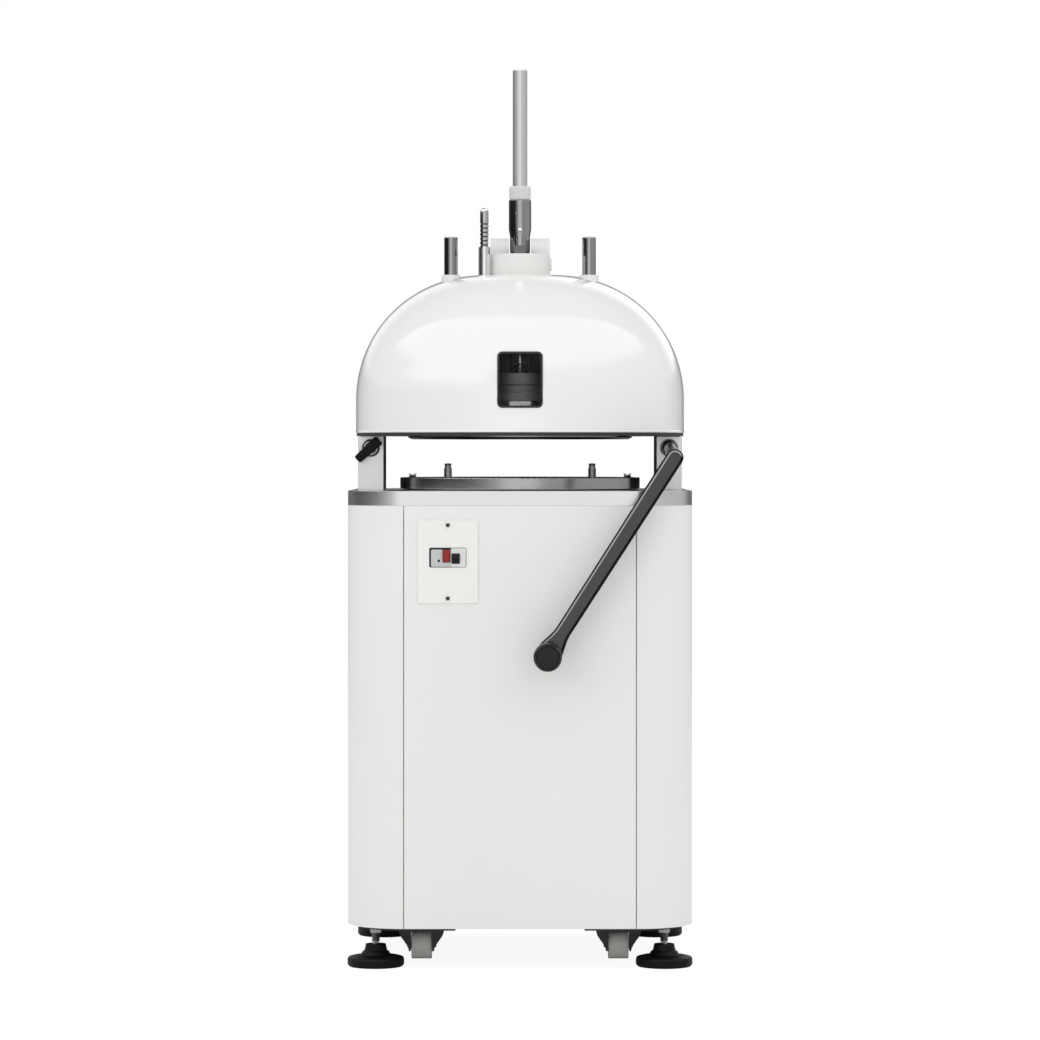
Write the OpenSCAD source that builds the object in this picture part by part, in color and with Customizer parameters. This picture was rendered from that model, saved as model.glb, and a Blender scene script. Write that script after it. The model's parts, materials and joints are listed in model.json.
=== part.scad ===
// Divider rounder for dough: a cabinet with an orbiting table under a domed press head.
// Millimetres, +Z up, front towards -Y, origin on the floor below the head's axis.

/* [Cabinet] */
// Width over the side shells
cab_w = 640; // [600:1:760]
// Depth from the front panel to the rear panel
cab_d = 640; // [600:1:760]
// Height of the shells
cab_h = 777; // [700:1:900]
// Radius of the upright corners
corner_r = 106; // [80:1:115]
// Sheet thickness of the shells and panels
sheet_t = 2; // [1.5:0.5:4]
// Open seam between a panel and a side shell
seam = 1.2; // [0.6:0.1:3]
// Depth of the folded edges of the panels
fold_d = 14; // [8:1:25]
// Thickness of the frame's floor pan
pan_t = 6; // [4:1:10]
// Thickness of the frame's top plate
top_plate_t = 12; // [8:1:20]
// Width of a frame upright
upright_w = 40; // [30:1:50]
// Wall of a frame upright
upright_t = 3; // [2:0.5:6]
// Distance of the uprights from the cabinet's sides
upright_inset = 95; // [90:1:120]
// Distance of the cable gland from the rear panel's edge
gland_inset = 33; // [25:1:60]
// Height of the cable gland above the cabinet's lower edge
gland_up = 70; // [40:1:120]

/* [Feet] */
// Clear height under the base rails
foot_h = 70; // [66:1:90]
// Radius of a foot pad
pad_r = 52.5; // [40:0.5:56]
// Height of a foot pad's disc
pad_h = 20; // [12:1:26]
// Height of the pad's hub above the disc
pad_hub_h = 25; // [15:1:28]
// Radius of the hub where it meets the disc
pad_hub_r = 32; // [24:1:36]
// Radius of the hub at its top
pad_top_r = 15; // [12:1:20]
// Radius of a foot stem
stem_r = 7.5; // [5:0.5:9]
// Radius of the lock nut across its corners
foot_nut_r = 14; // [12:0.5:16]
// Height of the lock nut
foot_nut_h = 8; // [6:1:12]
// Distance of a foot's centre from the cabinet's side
foot_inset_x = 53; // [50:1:60]
// Distance of a foot's centre from the cabinet's front or rear
foot_inset_y = 70; // [60:1:80]
// Thickness of the base rails
rail_t = 6; // [4:1:10]
// Width of a base rail
rail_w = 175; // [165:1:200]
// Distance of a rail's edge from the cabinet's outline
rail_inset = 26; // [15:1:30]

/* [Casters] */
// Radius of a caster wheel
wheel_r = 26; // [20:0.5:27]
// Width of a caster wheel
wheel_w = 38; // [28:1:42]
// Height of the wheels above the floor while the feet carry
wheel_lift = 3; // [2:0.5:6]
// Distance of a caster from the cabinet's side
caster_inset_x = 136; // [130:1:145]
// Distance of a caster from the cabinet's front or rear
caster_inset_y = 145; // [140:1:170]
// Offset of a swivelling wheel behind its swivel axis
caster_trail = 15; // [5:1:18]
// Side of a caster's square plate
caster_plate_w = 84; // [60:1:90]
// Thickness of a caster's plate
caster_plate_t = 4; // [3:0.5:6]
// Thickness of a fork's crown
crown_t = 4; // [3:0.5:6]
// Half width of a fork at its crown
fork_top = 42; // [34:1:44]
// Half width of a fork at its lower end
fork_low = 24; // [23:0.5:30]
// Radius of a wheel's axle
axle_r = 4; // [3:0.5:6]

/* [Deck and table] */
// Height of the deck's band
deck_h = 27; // [24:1:40]
// Thickness of the deck's top
deck_t = 6; // [4:0.5:10]
// Thickness of the deck's band
band_t = 4; // [2:0.5:8]
// Radius of the rounding table
table_r = 228.5; // [200:0.5:236]
// Thickness of the rounding table
table_t = 22; // [18:1:30]
// Gap between the table and the deck
table_gap = 1.5; // [1:0.1:4]
// Radius of the table's orbit
orbit_r = 12; // [6:0.5:14]
// Half distance between the two locating studs
stud_x = 137.5; // [120:0.5:150]
// Radius of a locating stud
stud_r = 7.5; // [6:0.5:10]
// Height of a locating stud
stud_h = 26.5; // [20:0.5:27]
// Half distance between the two wing studs
wing_x = 205; // [180:0.5:210]
// Radius of a wing stud's body
wing_r = 6; // [4:0.5:8]
// Height of a wing stud
wing_h = 7.5; // [5:0.5:10]

/* [Columns] */
// Width of a column
col_w = 48; // [44:1:54]
// Depth of a column
col_d = 140; // [100:1:170]
// Height of a column
col_h = 102; // [90:1:140]
// Wall of a column
col_wall = 5; // [3:0.5:5]
// Distance of a column's middle inside the dome's outline
col_inset = 30.5; // [28:0.5:34]

/* [Head] */
// Thickness of the head plate
head_plate_t = 6; // [5:0.5:12]
// Gap between the press ring and the hole of the head plate
ring_side = 4; // [2:0.5:10]
// Width of the head plate from its hole to the dome's outline
head_land = 95; // [87:0.5:112]
// Radius of the dome's rolled rim
rim_roll = 6; // [4:0.5:10]
// Wall of the dome
dome_t = 3; // [2:0.5:5]
// Height of the dome's upright wall
dome_wall_h = 64.5; // [50:0.5:90]
// Radius of the dome's shoulder
shoulder_r = 235.5; // [225:0.5:240]
// Height of the bridge inside the dome
bridge_h = 237; // [230:1:245]
// Thickness of the bridge
bridge_t = 25; // [18:1:30]
// Depth of the bridge from front to rear
bridge_d = 90; // [80:1:100]
// Height of the bridge's upright legs
bridge_leg_h = 132; // [110:1:150]

/* [Window] */
// Width of the sight window
win_w = 84; // [60:1:110]
// Height of the sight window
win_h = 104; // [70:1:120]
// Height of the window's sill above the dome's rim
win_sill = 45; // [30:1:60]
// Corner radius of the window
win_corner = 9.5; // [7:0.5:20]
// Width of the window's rubber edging
edging_w = 4; // [3:0.5:6]
// How far the edging stands out of the dome
edging_proud = 1.5; // [0.5:0.5:3]
// Thickness of the window pane
pane_t = 2; // [1:0.5:3]

/* [Lever bracket] */
// Radius of the collar
collar_r = 57; // [52:0.5:59]
// Height of the collar
collar_h = 41; // [36:1:48]
// Radius of the neck that reaches down to the bridge
neck_r = 46; // [43:0.5:50]
// Radius of the bore in the collar and neck
neck_bore_r = 36; // [32:0.5:39]
// Half gap between the two cheeks
cheek_gap = 21.5; // [20:0.5:26]
// Thickness of a cheek
cheek_t = 35.5; // [25:0.5:45]
// Radius of a cheek's rounded top
cheek_r = 28; // [22:0.5:32]
// Height of a cheek above the lever's pivot
cheek_top = 51; // [40:0.5:60]
// Depth of the slot below the dome's top
slot_depth = 38; // [34:1:50]

/* [Press lever] */
// Swing of the lever from rest to the end of the press, in degrees
swing = 60; // [40:1:62]
// Stroke of the press head
stroke = 58; // [40:0.5:58]
// Distance of the pivot behind the spindle's axis
pivot_y = 58; // [57:0.5:64]
// Height of the pivot above the dome's top
pivot_h = 24; // [23:0.5:32]
// Radius of the pivot pin
pivot_r = 8; // [6:0.5:10]
// Radius of the lever's hub
hub_r = 20; // [15:0.5:21]
// Height of the hub's neck above the pivot
hub_h = 23; // [21:0.5:32]
// Radius of the socket's narrow lower end
socket_low_r = 18.3; // [16:0.1:19.5]
// Radius of the socket
socket_r = 21.5; // [20:0.5:26]
// Length of the socket's narrow lower end
socket_low_h = 35; // [30:1:50]
// Length of the socket's taper
socket_taper_h = 7; // [4:1:15]
// Length of the whole socket
socket_h = 102; // [80:1:140]
// Depth of the tube in the socket
socket_bore_h = 52; // [30:1:56]
// Width of the slit in the socket
slit_w = 2; // [1:0.5:4]
// Radius of the ring on the socket
cuff_r = 20.7; // [18:0.1:24]
// Height of the ring on the socket
cuff_h = 26; // [15:1:40]
// Radius of the lever's tube
tube_r = 14; // [10:0.5:15]
// Wall of the lever's tube
tube_t = 3; // [2:0.5:5]
// Length of tube that stands out of the ring
tube_h = 224; // [150:1:600]
// Thickness of the plug in the tube's end
plug_t = 4; // [2:0.5:10]

/* [Press head] */
// Radius of the spindle
spindle_r = 18; // [14:0.5:22]
// Radius of the spindle's cap
cap_r = 25; // [22:0.5:30]
// Thickness of the spindle's cap
cap_t = 10; // [6:0.5:14]
// Radius of the guide posts
post_r = 13; // [10:0.5:16]
// Distance of the guide posts from the axis
post_x = 132; // [126:0.5:140]
// Height of the guide posts above the dome's top
post_h = 74.7; // [62:0.1:110]
// Radius of the guide posts' bosses
boss_r = 17.5; // [17:0.5:22]
// Height of the bosses above the dome's top
boss_h = 2; // [0:0.5:12]
// Distance of the scale rod to the left of the axis
scale_x = 68; // [67:0.5:80]
// Distance of the scale rod before the axis
scale_y = 25; // [20:0.5:30]
// Radius of the scale rod
scale_r = 8; // [5:0.5:9]
// Height of the scale rod above the dome's top
scale_h = 129; // [115:1:160]
// Number of ring marks on the scale rod
scale_marks = 6; // [3:1:7]
// Distance between two ring marks
mark_pitch = 8; // [6:0.5:9]
// Depth of a ring mark
mark_depth = 1; // [0.5:0.1:2]
// Radius of the scale rod's sleeve
sleeve_r = 11; // [10:0.5:13]
// Height of the sleeve above the dome's top
sleeve_h = 54; // [30:1:60]
// Outer radius of the press ring
ring_r = 214; // [205:0.5:215]
// Wall of the press ring
ring_t = 11; // [6:0.5:14]
// Height of the press ring
ring_h = 70; // [60:1:72]
// How far the ring reaches below the head plate
ring_drop = 6; // [2:0.5:7]
// Thickness of the crosshead's flange
flange_t = 17; // [12:1:20]
// Radius of the crosshead's flange
flange_r = 210; // [206:0.5:212]
// Radius of the crosshead's drum
drum_r = 185; // [170:0.5:195]
// Wall of the crosshead's drum
drum_t = 13; // [8:0.5:16]
// Height of the crosshead's drum
drum_h = 37; // [25:1:40]
// Depth of the groove round the drum
drum_groove = 3; // [1:0.5:6]
// Wire radius of the return springs
spring_wire_r = 1.5; // [1:0.1:2]
// Coil radius of the return springs
spring_r = 10; // [8:0.5:11]
// Turns of a return spring
spring_turns = 15; // [8:1:18]
// Distance of the return springs from the axis
spring_x = 95; // [93:0.5:98]

/* [Press pads and knives] */
// How far the pads lie inside the ring's lower edge
pad_recess = 24; // [22:0.5:30]
// Thickness of a press pad
press_pad_t = 12; // [8:0.5:14]
// Gap between the pads and the ring
pad_gap = 1.5; // [1:0.1:4]
// Radius of a pad's stem
pad_stem_r = 5; // [3:0.5:7]
// Thickness of a knife
knife_t = 2.5; // [1.5:0.1:4]
// Gap between a knife and a pad
knife_gap = 1; // [0.6:0.1:2]
// Height of a knife
knife_h = 34; // [26:0.5:35]
// Radius of a knife rod
knife_rod_r = 7; // [5:0.5:9]
// Radius of a knife rod's nut
knife_nut_r = 16; // [14:0.5:20]
// Height of a knife rod's nut
knife_nut_h = 22; // [12:1:30]
// Height of the nuts above the crosshead's flange
knife_nut_gap = 55; // [40:1:58]
// Turns of a knife spring
knife_spring_turns = 7; // [4:1:8]

/* [Rounding lever] */
// Depth of the lever's pivot below the head plate
shaft_drop = 22.5; // [22:0.1:30]
// Radius of the lever's shaft
shaft_r = 10; // [8:0.5:11]
// Radius of the column bushes
bush_r = 15; // [13:0.5:18]
// Radius of a bush's flange
bush_flange_r = 17; // [15:0.5:19]
// Radius of the lever's boss on the shaft
arm_boss_r = 13.9; // [12:0.1:17]
// Length of the lever's boss on the shaft
arm_boss_l = 36; // [25:1:50]
// Distance of the arm's middle in front of the cabinet
arm_clear = 45; // [30:1:80]
// Drop of the lever's neck from the boss to the arm
arm_drop = 18; // [5:0.5:40]
// Half width of the arm
arm_r = 16.2; // [14:0.1:20]
// Thickness of the arm
arm_t = 22; // [16:0.5:30]
// Length of the arm from its bend to the grip
arm_l = 430; // [300:1:460]
// Angle of the arm from straight down, in degrees
arm_angle = 32.7; // [0:0.1:45]
// Radius of the grip
grip_r = 26; // [20:0.5:32]
// Length of the grip in front of the arm
grip_l = 64; // [40:1:80]
// Travel of the rounding lever, in degrees
arm_swing = 65; // [30:1:70]
// Radius of the crank inside the column
crank_r = 10; // [8:0.5:10]
// Radius of the crank's pin and of the rod's pin
crank_pin_r = 3.5; // [3:0.1:4]
// Radius of the pull rod
rod_r = 5; // [4:0.5:7]

/* [Lock knob] */
// Length of the knob's bar from its pivot to the wide end
bar_l = 25; // [20:0.5:26]
// Length of the knob's bar from its pivot to the narrow end
bar_tail_l = 33; // [20:0.5:40]
// Width of the knob's bar at its wide end
bar_w = 16; // [12:0.5:18]
// Width of the knob's bar at its narrow end
bar_tail_w = 12.5; // [10:0.5:18]
// Radius of the bar's corners
bar_round = 5; // [2:0.5:5]
// Thickness of the knob's bar
bar_t = 18; // [10:0.5:26]
// Angle of the bar above the horizontal, in degrees
bar_angle = 42; // [0:1:44]
// Radius of the knob's round rose
rose_r = 16; // [14:0.5:19]
// Thickness of the knob's round rose
rose_t = 10; // [6:0.5:16]

/* [Switch] */
// Width of the switch plate
switch_w = 111; // [96:1:130]
// Height of the switch plate
switch_h = 152.5; // [145:0.5:180]
// Thickness of the switch plate
switch_t = 3; // [2:0.5:5]
// Left distance of the switch plate from the axis
switch_x = 132.5; // [120:0.5:140]
// Depth of the switch plate's middle below the deck
switch_drop = 102.7; // [90:0.1:200]
// Width of the cut-out in the switch plate
cutout_w = 68; // [60:1:80]
// Height of the cut-out in the switch plate
cutout_h = 36; // [34:1:50]
// Height of the cut-out's middle above the plate's middle
cutout_up = 7.8; // [0:0.1:15]
// Width of the stop button
stop_w = 12; // [8:0.5:13]
// Height of the stop button
stop_h = 22; // [14:0.5:24]
// Width of the start button
start_w = 14; // [8:0.5:15]
// Height of the start button
start_h = 18; // [12:0.5:20]
// How far the buttons stand out of the switch
button_proud = 5; // [3.5:0.5:10]
// Travel of the buttons
button_travel = 3; // [1:0.5:3]
// Depth of the switch body behind the panel
switch_d = 58; // [40:1:80]

/* [Drive] */
// Radius of the drive crank's shaft
drive_r = 17.5; // [14:0.5:20]
// Radius of the drive crank's pin
drive_pin_r = 14; // [10:0.5:16]
// Radius of the shoulder that carries the table
shoulder_pin_r = 20; // [17:0.5:24]
// Radius of the drive crank's disc
crank_disc_r = 40; // [36:0.5:46]
// Thickness of the crank discs
crank_disc_t = 7; // [5:0.5:8]
// Radius of the bearing housing's body
housing_r = 45; // [40:0.5:55]
// Length of the bearing housing below the top plate
housing_h = 66; // [50:1:76]
// Thickness of the housings' flanges
housing_flange_t = 8; // [6:0.5:9]
// Wall of a shaft bearing
bearing_t = 9.5; // [6:0.5:12]
// Height of a shaft bearing
bearing_h = 15; // [10:0.5:20]
// Radius of the guide cranks' shafts
guide_r = 10; // [8:0.5:12]
// Radius of the guide cranks' pins
guide_pin_r = 8; // [6:0.5:9]
// Distance of the guide cranks from the middle, sideways
guide_x = 130; // [120:1:140]
// Distance of the guide cranks behind the middle
guide_y = 75; // [60:1:85]
// Radius of the drive pulley
pulley_r = 110; // [90:1:115]
// Radius of the motor pulley
motor_pulley_r = 32; // [28:1:40]
// Height of the pulleys
pulley_h = 26; // [22:1:30]
// Width of the belt
belt_w = 12; // [8:0.5:16]
// Thickness of the belt
belt_t = 8; // [5:0.5:9]
// Distance from the drive shaft to the motor shaft
motor_y = 200; // [190:1:210]
// Radius of the motor's body
motor_r = 70; // [60:1:78]
// Height of the motor's body
motor_h = 220; // [160:1:300]
// Radius of the motor's shaft
motor_shaft_r = 12; // [8:0.5:14]
// Number of cooling fins on the motor
motor_fins = 24; // [12:1:36]
// Distance from the drive shaft to the brake arm's pivot
brake_x = 200; // [190:1:205]
// Distance from the drive shaft to the brake shoe
shoe_x = 95; // [85:1:100]

/* [Fits] */
// Radial running gap of shafts, pins and guide rods
run_gap = 0.05; // [0.02:0.01:0.1]
// Gap round pieces that are set in place
set_gap = 0.2; // [0.1:0.05:0.5]
// Gap between faces that move past each other
move_gap = 0.3; // [0.3:0.05:1]

/* [Hidden] */
$fn = 96;
eps = 1;
cab_z = foot_h + rail_t;
deck_z = cab_z + cab_h;
deck_top = deck_z + deck_h;
table_z = deck_top + table_gap;
table_top = table_z + table_t;
head_z = deck_top + col_h;
rim_z = head_z + head_plate_t;
shoulder_z = rim_z + dome_wall_h;
dome_top = shoulder_z + shoulder_r;
head_hole_r = ring_r + ring_side;
dome_r = head_hole_r + head_land;
flat_r = dome_r - shoulder_r;
bridge_top = rim_z + bridge_h;
half_w = cab_w / 2;
half_d = cab_d / 2;
panel_w = cab_w - 2 * corner_r - 2;
frame_gap = sheet_t + set_gap;

foot_x = half_w - foot_inset_x;
foot_y = half_d - foot_inset_y;
stem_seat = 10;
caster_x = half_w - caster_inset_x;
caster_y = half_d - caster_inset_y;
caster_plate_z = foot_h - caster_plate_t;
crown_z = caster_plate_z - crown_t - move_gap;
axle_z = wheel_lift + wheel_r;
fork_z = axle_z - 2 * axle_r - 1;
fork_front = 18;
fork_rear = 14;
swivel_r = 6;

upright_x = half_w - upright_inset;
upright_y = half_d - upright_inset;
col_x = dome_r - col_inset;
shaft_z = head_z - shaft_drop;
col_front = col_d / 2;

pin_z = deck_z + housing_flange_t + move_gap;
crank_top = pin_z + crank_disc_t;
pin_top = table_z + table_t - 6;
crank_hole_r = shoulder_pin_r + orbit_r + 4;
guide_shoulder_r = guide_pin_r + 4;
guide_hole_r = guide_shoulder_r + orbit_r + 4;
guide_disc_r = guide_shoulder_r + orbit_r + 2;
guide_housing_r = guide_r + 8;
housing_z = deck_z - top_plate_t - housing_h;
pulley_z = housing_z - pulley_h - 6;
belt_z = pulley_z + (pulley_h - belt_w) / 2;
belt_in = belt_t + 0.7;
shelf_t = 8;
shelf_z = pulley_z - shelf_t - 8;
shelf_d = 2 * motor_r + 20;

ring_z = head_z - ring_drop;
ring_top = ring_z + ring_h;
ring_in = ring_r - ring_t;
flange_top = ring_top + flange_t;
drum_top = flange_top + drum_h;
pads_z = ring_z + pad_recess;
pads_r = ring_in - pad_gap;
knife_counts = [4, 10, 16];
knife_total = 30;
knife_radii = [0, pads_r * sqrt(4 / knife_total), pads_r * sqrt(14 / knife_total), pads_r];
knife_slot = knife_t + 2 * knife_gap;
knife_rod_angles = [-90, 30, 150];
knife_nut_z = flange_top + knife_nut_gap;
knife_spring_wire = 1.4;

pivot_z = dome_top + pivot_h;
cam_k = stroke / (swing * PI / 180);
cap_z = pivot_z - move_gap;
socket_z = pivot_z + hub_h;
socket_top = socket_z + socket_h;
cuff_top = socket_top + cuff_h;
tube_top = cuff_top + tube_h;
cheek_out = cheek_gap + cheek_t;

arm_y = -(half_d + arm_clear);
arm_z = shaft_z - arm_drop;
boss_y = -(col_front + 5);
boss_end = boss_y - arm_boss_l;
grip_x = col_x - arm_l * sin(arm_angle);
grip_z = arm_z - arm_l * cos(arm_angle);
crank_rest = arm_swing / 2;
rod_rise = 2 * crank_r * sin(crank_rest);
slot_gap = 0.35;
rod_y = 8;
yoke_z = shaft_z - crank_r * sin(crank_rest);
brake_reach = col_x - brake_x;
brake_tilt = asin(rod_rise / 2 / brake_reach);
brake_y = rod_y + rod_r + 2;
brake_t = 10;
shoe_t = 8;
brake_pivot_r = 6;
brake_bar_h = 20;
shoe_gap = 0.5;
shoe_rise = (brake_x - shoe_x) * sin(brake_tilt) + (brake_bar_h / 2 - eps) * cos(brake_tilt) + shoe_t;
brake_z = pulley_z - shoe_gap - shoe_rise;
rod_pin_z = brake_z - brake_reach * tan(brake_tilt);

switch_z = deck_z - switch_drop;
cutout_z = switch_z + cutout_up;
back_w = cutout_w + 8;
back_h = cutout_h + 60;
panel_y = -half_d;
stop_x = -switch_x - 2.5;
start_x = -switch_x + 14.5;
start_z = cutout_z - 2;
stop_z = cutout_z + 3;
screw_r = 3.5;
screw_h = 2.5;
screw_edge = 9;
gland_x = panel_w / 2 - gland_inset;
gland_z = cab_z + gland_up;
gland_r = 10;
gland_bore_r = 5.5;

// Shared shapes

module rounded_rect(w, d, r) {
    square([w - 2 * r, d], center = true);
    square([w, d - 2 * r], center = true);
    for (x = [-1, 1], y = [-1, 1])
        translate([x * (w / 2 - r), y * (d / 2 - r)]) circle(r);
}

// A round disc with rounded edges, centred on its axis
module round_disc(r, h, edge) {
    rotate_extrude() intersection() {
        rounded_rect(2 * r, h, edge);
        translate([0, -h / 2]) square([r, h]);
    }
}

module along_x(x0, x1) {
    translate([x0, 0, 0]) rotate([90, 0, 90]) linear_extrude(x1 - x0) children();
}

module along_y(y0, y1) {
    translate([0, y1, 0]) rotate([90, 0, 0]) linear_extrude(y1 - y0) children();
}

module rod_x(x0, x1, r) {
    translate([x0, 0, 0]) rotate([0, 90, 0]) cylinder(r = r, h = x1 - x0);
}

module rod_y(y0, y1, r) {
    translate([0, y1, 0]) rotate([90, 0, 0]) cylinder(r = r, h = y1 - y0);
}

module rod_z(z0, z1, r) {
    translate([0, 0, z0]) cylinder(r = r, h = z1 - z0);
}

module pipe_z(z0, z1, r_out, r_in) {
    difference() {
        rod_z(z0, z1, r_out);
        rod_z(z0 - eps, z1 + eps, r_in);
    }
}

module at_corners(x, y) {
    for (sx = [-1, 1], sy = [-1, 1]) translate([sx * x, sy * y, 0]) children();
}

module at_sides(x) {
    for (s = [-1, 1]) translate([s * x, 0, 0]) children();
}

// Outline of the cabinet, moved inwards by a distance
module cabinet_outline(inset) {
    rounded_rect(cab_w - 2 * inset, cab_d - 2 * inset, corner_r - inset);
}

// Half section of the dome, moved inwards by a distance
module dome_section(inset) {
    translate([0, rim_z + inset]) square([dome_r - rim_roll, dome_wall_h - inset]);
    translate([0, rim_z + rim_roll]) square([dome_r - inset, dome_wall_h - rim_roll]);
    translate([dome_r - rim_roll, rim_z + rim_roll]) circle(rim_roll - inset);
    translate([0, shoulder_z]) square([flat_r, shoulder_r - inset]);
    translate([flat_r, shoulder_z]) intersection() {
        circle(shoulder_r - inset);
        square(shoulder_r);
    }
}

module dome_layer(outer, inner) {
    rotate_extrude() difference() {
        dome_section(outer);
        dome_section(inner);
        translate([0, rim_z - rim_roll]) square([dome_r - 2 * rim_roll, 2 * rim_roll]);
    }
}

// Helical wire between two heights, with straight upright ends one wire thick
ring_steps = 8;
wire_sides = 6;

function coil_path(r, wire, turns, z0, z1) =
    let (lead = 2 * wire, rise = (z1 - z0 - 2 * lead) / turns)
    concat(
        [[r, 0, z0], [r, 0, z0 + lead]],
        [for (i = [1 : turns * ring_steps - 1])
            let (a = 360 * i / ring_steps)
            [r * cos(a), r * sin(a), z0 + lead + rise * i / ring_steps]],
        [[r, 0, z1 - lead], [r, 0, z1]]
    );

function coil_ring(path, i, wire) =
    let (
        p = path[i],
        n = len(path),
        out = [p[0], p[1], 0] / norm([p[0], p[1]]),
        upright = i < 2 || i > n - 3,
        run = upright ? [0, 0, 1] : (path[i + 1] - path[i - 1]) / norm(path[i + 1] - path[i - 1]),
        side = cross(run, out)
    )
    [for (k = [0 : wire_sides - 1])
        let (a = 360 * k / wire_sides)
        p + wire * (cos(a) * out + sin(a) * side / norm(side))];

function coil_gap(path, wire) =
    min([for (i = [0 : len(path) - 1], j = [i + ring_steps - 1 : 1 : len(path) - 1])
        norm(path[i] - path[j])]) - 2 * wire;

module coil(r, wire, turns, z0, z1) {
    path = coil_path(r, wire, turns, z0, z1);
    n = len(path);
    m = wire_sides;
    points = [for (i = [0 : n - 1]) each coil_ring(path, i, wire)];
    skin = [for (i = [0 : n - 2], k = [0 : m - 1])
        let (a = i * m + k, b = i * m + (k + 1) % m)
        each [[a, a + m, b], [b, a + m, b + m]]];
    start = [for (k = [1 : m - 2]) [0, k, k + 1]];
    end = [for (k = [1 : m - 2]) [(n - 1) * m, (n - 1) * m + k + 1, (n - 1) * m + k]];
    echo(least_gap = coil_gap(path, wire));
    polyhedron(points, concat(skin, start, end));
}

// Cabinet and base

module base_rails() {
    rail_out = half_w - rail_inset;
    color("#1c1c1d") translate([0, 0, foot_h]) difference() {
        linear_extrude(rail_t) intersection() {
            cabinet_outline(rail_inset);
            at_sides(rail_out - rail_w / 2) square([rail_w, cab_d], center = true);
        }
        at_corners(foot_x, foot_y) rod_z(-eps, rail_t + eps, stem_r + run_gap);
    }
}

module upright() {
    difference() {
        translate([-upright_w / 2, -upright_w / 2, 0])
            cube([upright_w, upright_w, cab_h]);
        translate([-upright_w / 2 - eps, -upright_w / 2 + upright_t, -eps])
            cube([upright_w - upright_t + eps, upright_w - 2 * upright_t, cab_h + 2 * eps]);
    }
}

module inner_frame() {
    lug_h = deck_z - top_plate_t - brake_z + 2 * brake_pivot_r;
    color("#85898c") difference() {
        union() {
            translate([0, 0, cab_z]) linear_extrude(pan_t) cabinet_outline(frame_gap);
            translate([0, 0, deck_z - top_plate_t])
                linear_extrude(top_plate_t) cabinet_outline(frame_gap);
            for (sx = [0, 1], sy = [-1, 1])
                mirror([sx, 0, 0]) translate([upright_x, sy * upright_y, cab_z]) upright();
            at_sides(col_x) translate([-col_w / 2, -col_d / 2, deck_z])
                cube([col_w, col_d, deck_h - deck_t]);
            translate([-upright_x, motor_y - shelf_d / 2, shelf_z])
                cube([2 * upright_x, shelf_d, shelf_t]);
            translate([brake_x - 2 * brake_pivot_r, brake_y + brake_t + 2, brake_z - 2 * brake_pivot_r])
                cube([4 * brake_pivot_r, brake_t, lug_h]);
            translate([brake_x, 0, brake_z]) rod_y(brake_y, brake_y + brake_t + 3, brake_pivot_r);
        }
        rod_z(housing_z, deck_z + eps, housing_r + set_gap);
        at_sides(guide_x) translate([0, guide_y, 0])
            rod_z(housing_z, deck_z + eps, guide_housing_r + set_gap);
        translate([col_x, rod_y, 0]) rod_z(deck_z - top_plate_t - eps, deck_top, rod_r + 2);
        translate([0, motor_y, 0]) rod_z(shelf_z - eps, shelf_z + shelf_t + eps, 2.5 * motor_shaft_r);
    }
}

module side_shell() {
    color("#e9e9e7") translate([0, 0, cab_z]) linear_extrude(cab_h) intersection() {
        difference() {
            cabinet_outline(0);
            cabinet_outline(sheet_t);
        }
        translate([panel_w / 2 + seam, -cab_d]) square(2 * cab_d);
    }
}

module side_shell_right() {
    side_shell();
}

module side_shell_left() {
    mirror([1, 0, 0]) side_shell();
}

// Flat sheet with folded side edges, its outer face on the cabinet's front
module flat_panel() {
    fold_z = cab_z + pan_t + set_gap;
    translate([-panel_w / 2, panel_y, cab_z]) cube([panel_w, sheet_t, cab_h]);
    at_sides(panel_w / 2 - sheet_t / 2) translate([-sheet_t / 2, panel_y, fold_z])
        cube([sheet_t, fold_d, cab_h - pan_t - top_plate_t - 2 * set_gap]);
}

module front_panel() {
    color("#e9e9e7") difference() {
        flat_panel();
        translate([-switch_x, 0, cutout_z]) along_y(panel_y - eps, panel_y + sheet_t + eps)
            square([back_w + 2 * set_gap, back_h + 2 * set_gap], center = true);
    }
}

module rear_panel() {
    louvre_w = 130;
    louvre_h = 7;
    louvre_pitch = 22;
    louvre_rows = 8;
    color("#e4e4e2") difference() {
        mirror([0, 1, 0]) flat_panel();
        for (i = [0 : louvre_rows - 1], s = [-1, 1])
            translate([s * 0.6 * louvre_w, 0, cab_z + 0.35 * cab_h + i * louvre_pitch])
                along_y(half_d - sheet_t - eps, half_d + eps)
                    rounded_rect(louvre_w, louvre_h, louvre_h / 2 - 0.1);
        translate([gland_x, 0, gland_z]) rod_y(half_d - sheet_t - eps, half_d + eps, gland_r + set_gap);
    }
}

module deck_plate() {
    color("#c4c6c7") difference() {
        translate([0, 0, deck_z]) linear_extrude(deck_h) cabinet_outline(0);
        translate([0, 0, deck_z - eps]) linear_extrude(deck_h - deck_t + eps) cabinet_outline(band_t);
        rod_z(deck_z, deck_top + eps, crank_hole_r);
        at_sides(guide_x) translate([0, guide_y, 0]) rod_z(deck_z, deck_top + eps, guide_hole_r);
        translate([col_x, rod_y, 0]) rod_z(deck_z, deck_top + eps, rod_r + 2);
    }
}

module foot_pads() {
    color("#161616") at_corners(foot_x, foot_y) difference() {
        union() {
            translate([0, 0, pad_h / 2]) round_disc(pad_r, pad_h, 4);
            translate([0, 0, pad_h - eps]) cylinder(r1 = pad_hub_r, r2 = pad_top_r, h = pad_hub_h + eps);
        }
        rod_z(pad_h + pad_hub_h - stem_seat, foot_h, stem_r + run_gap);
    }
}

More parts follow.
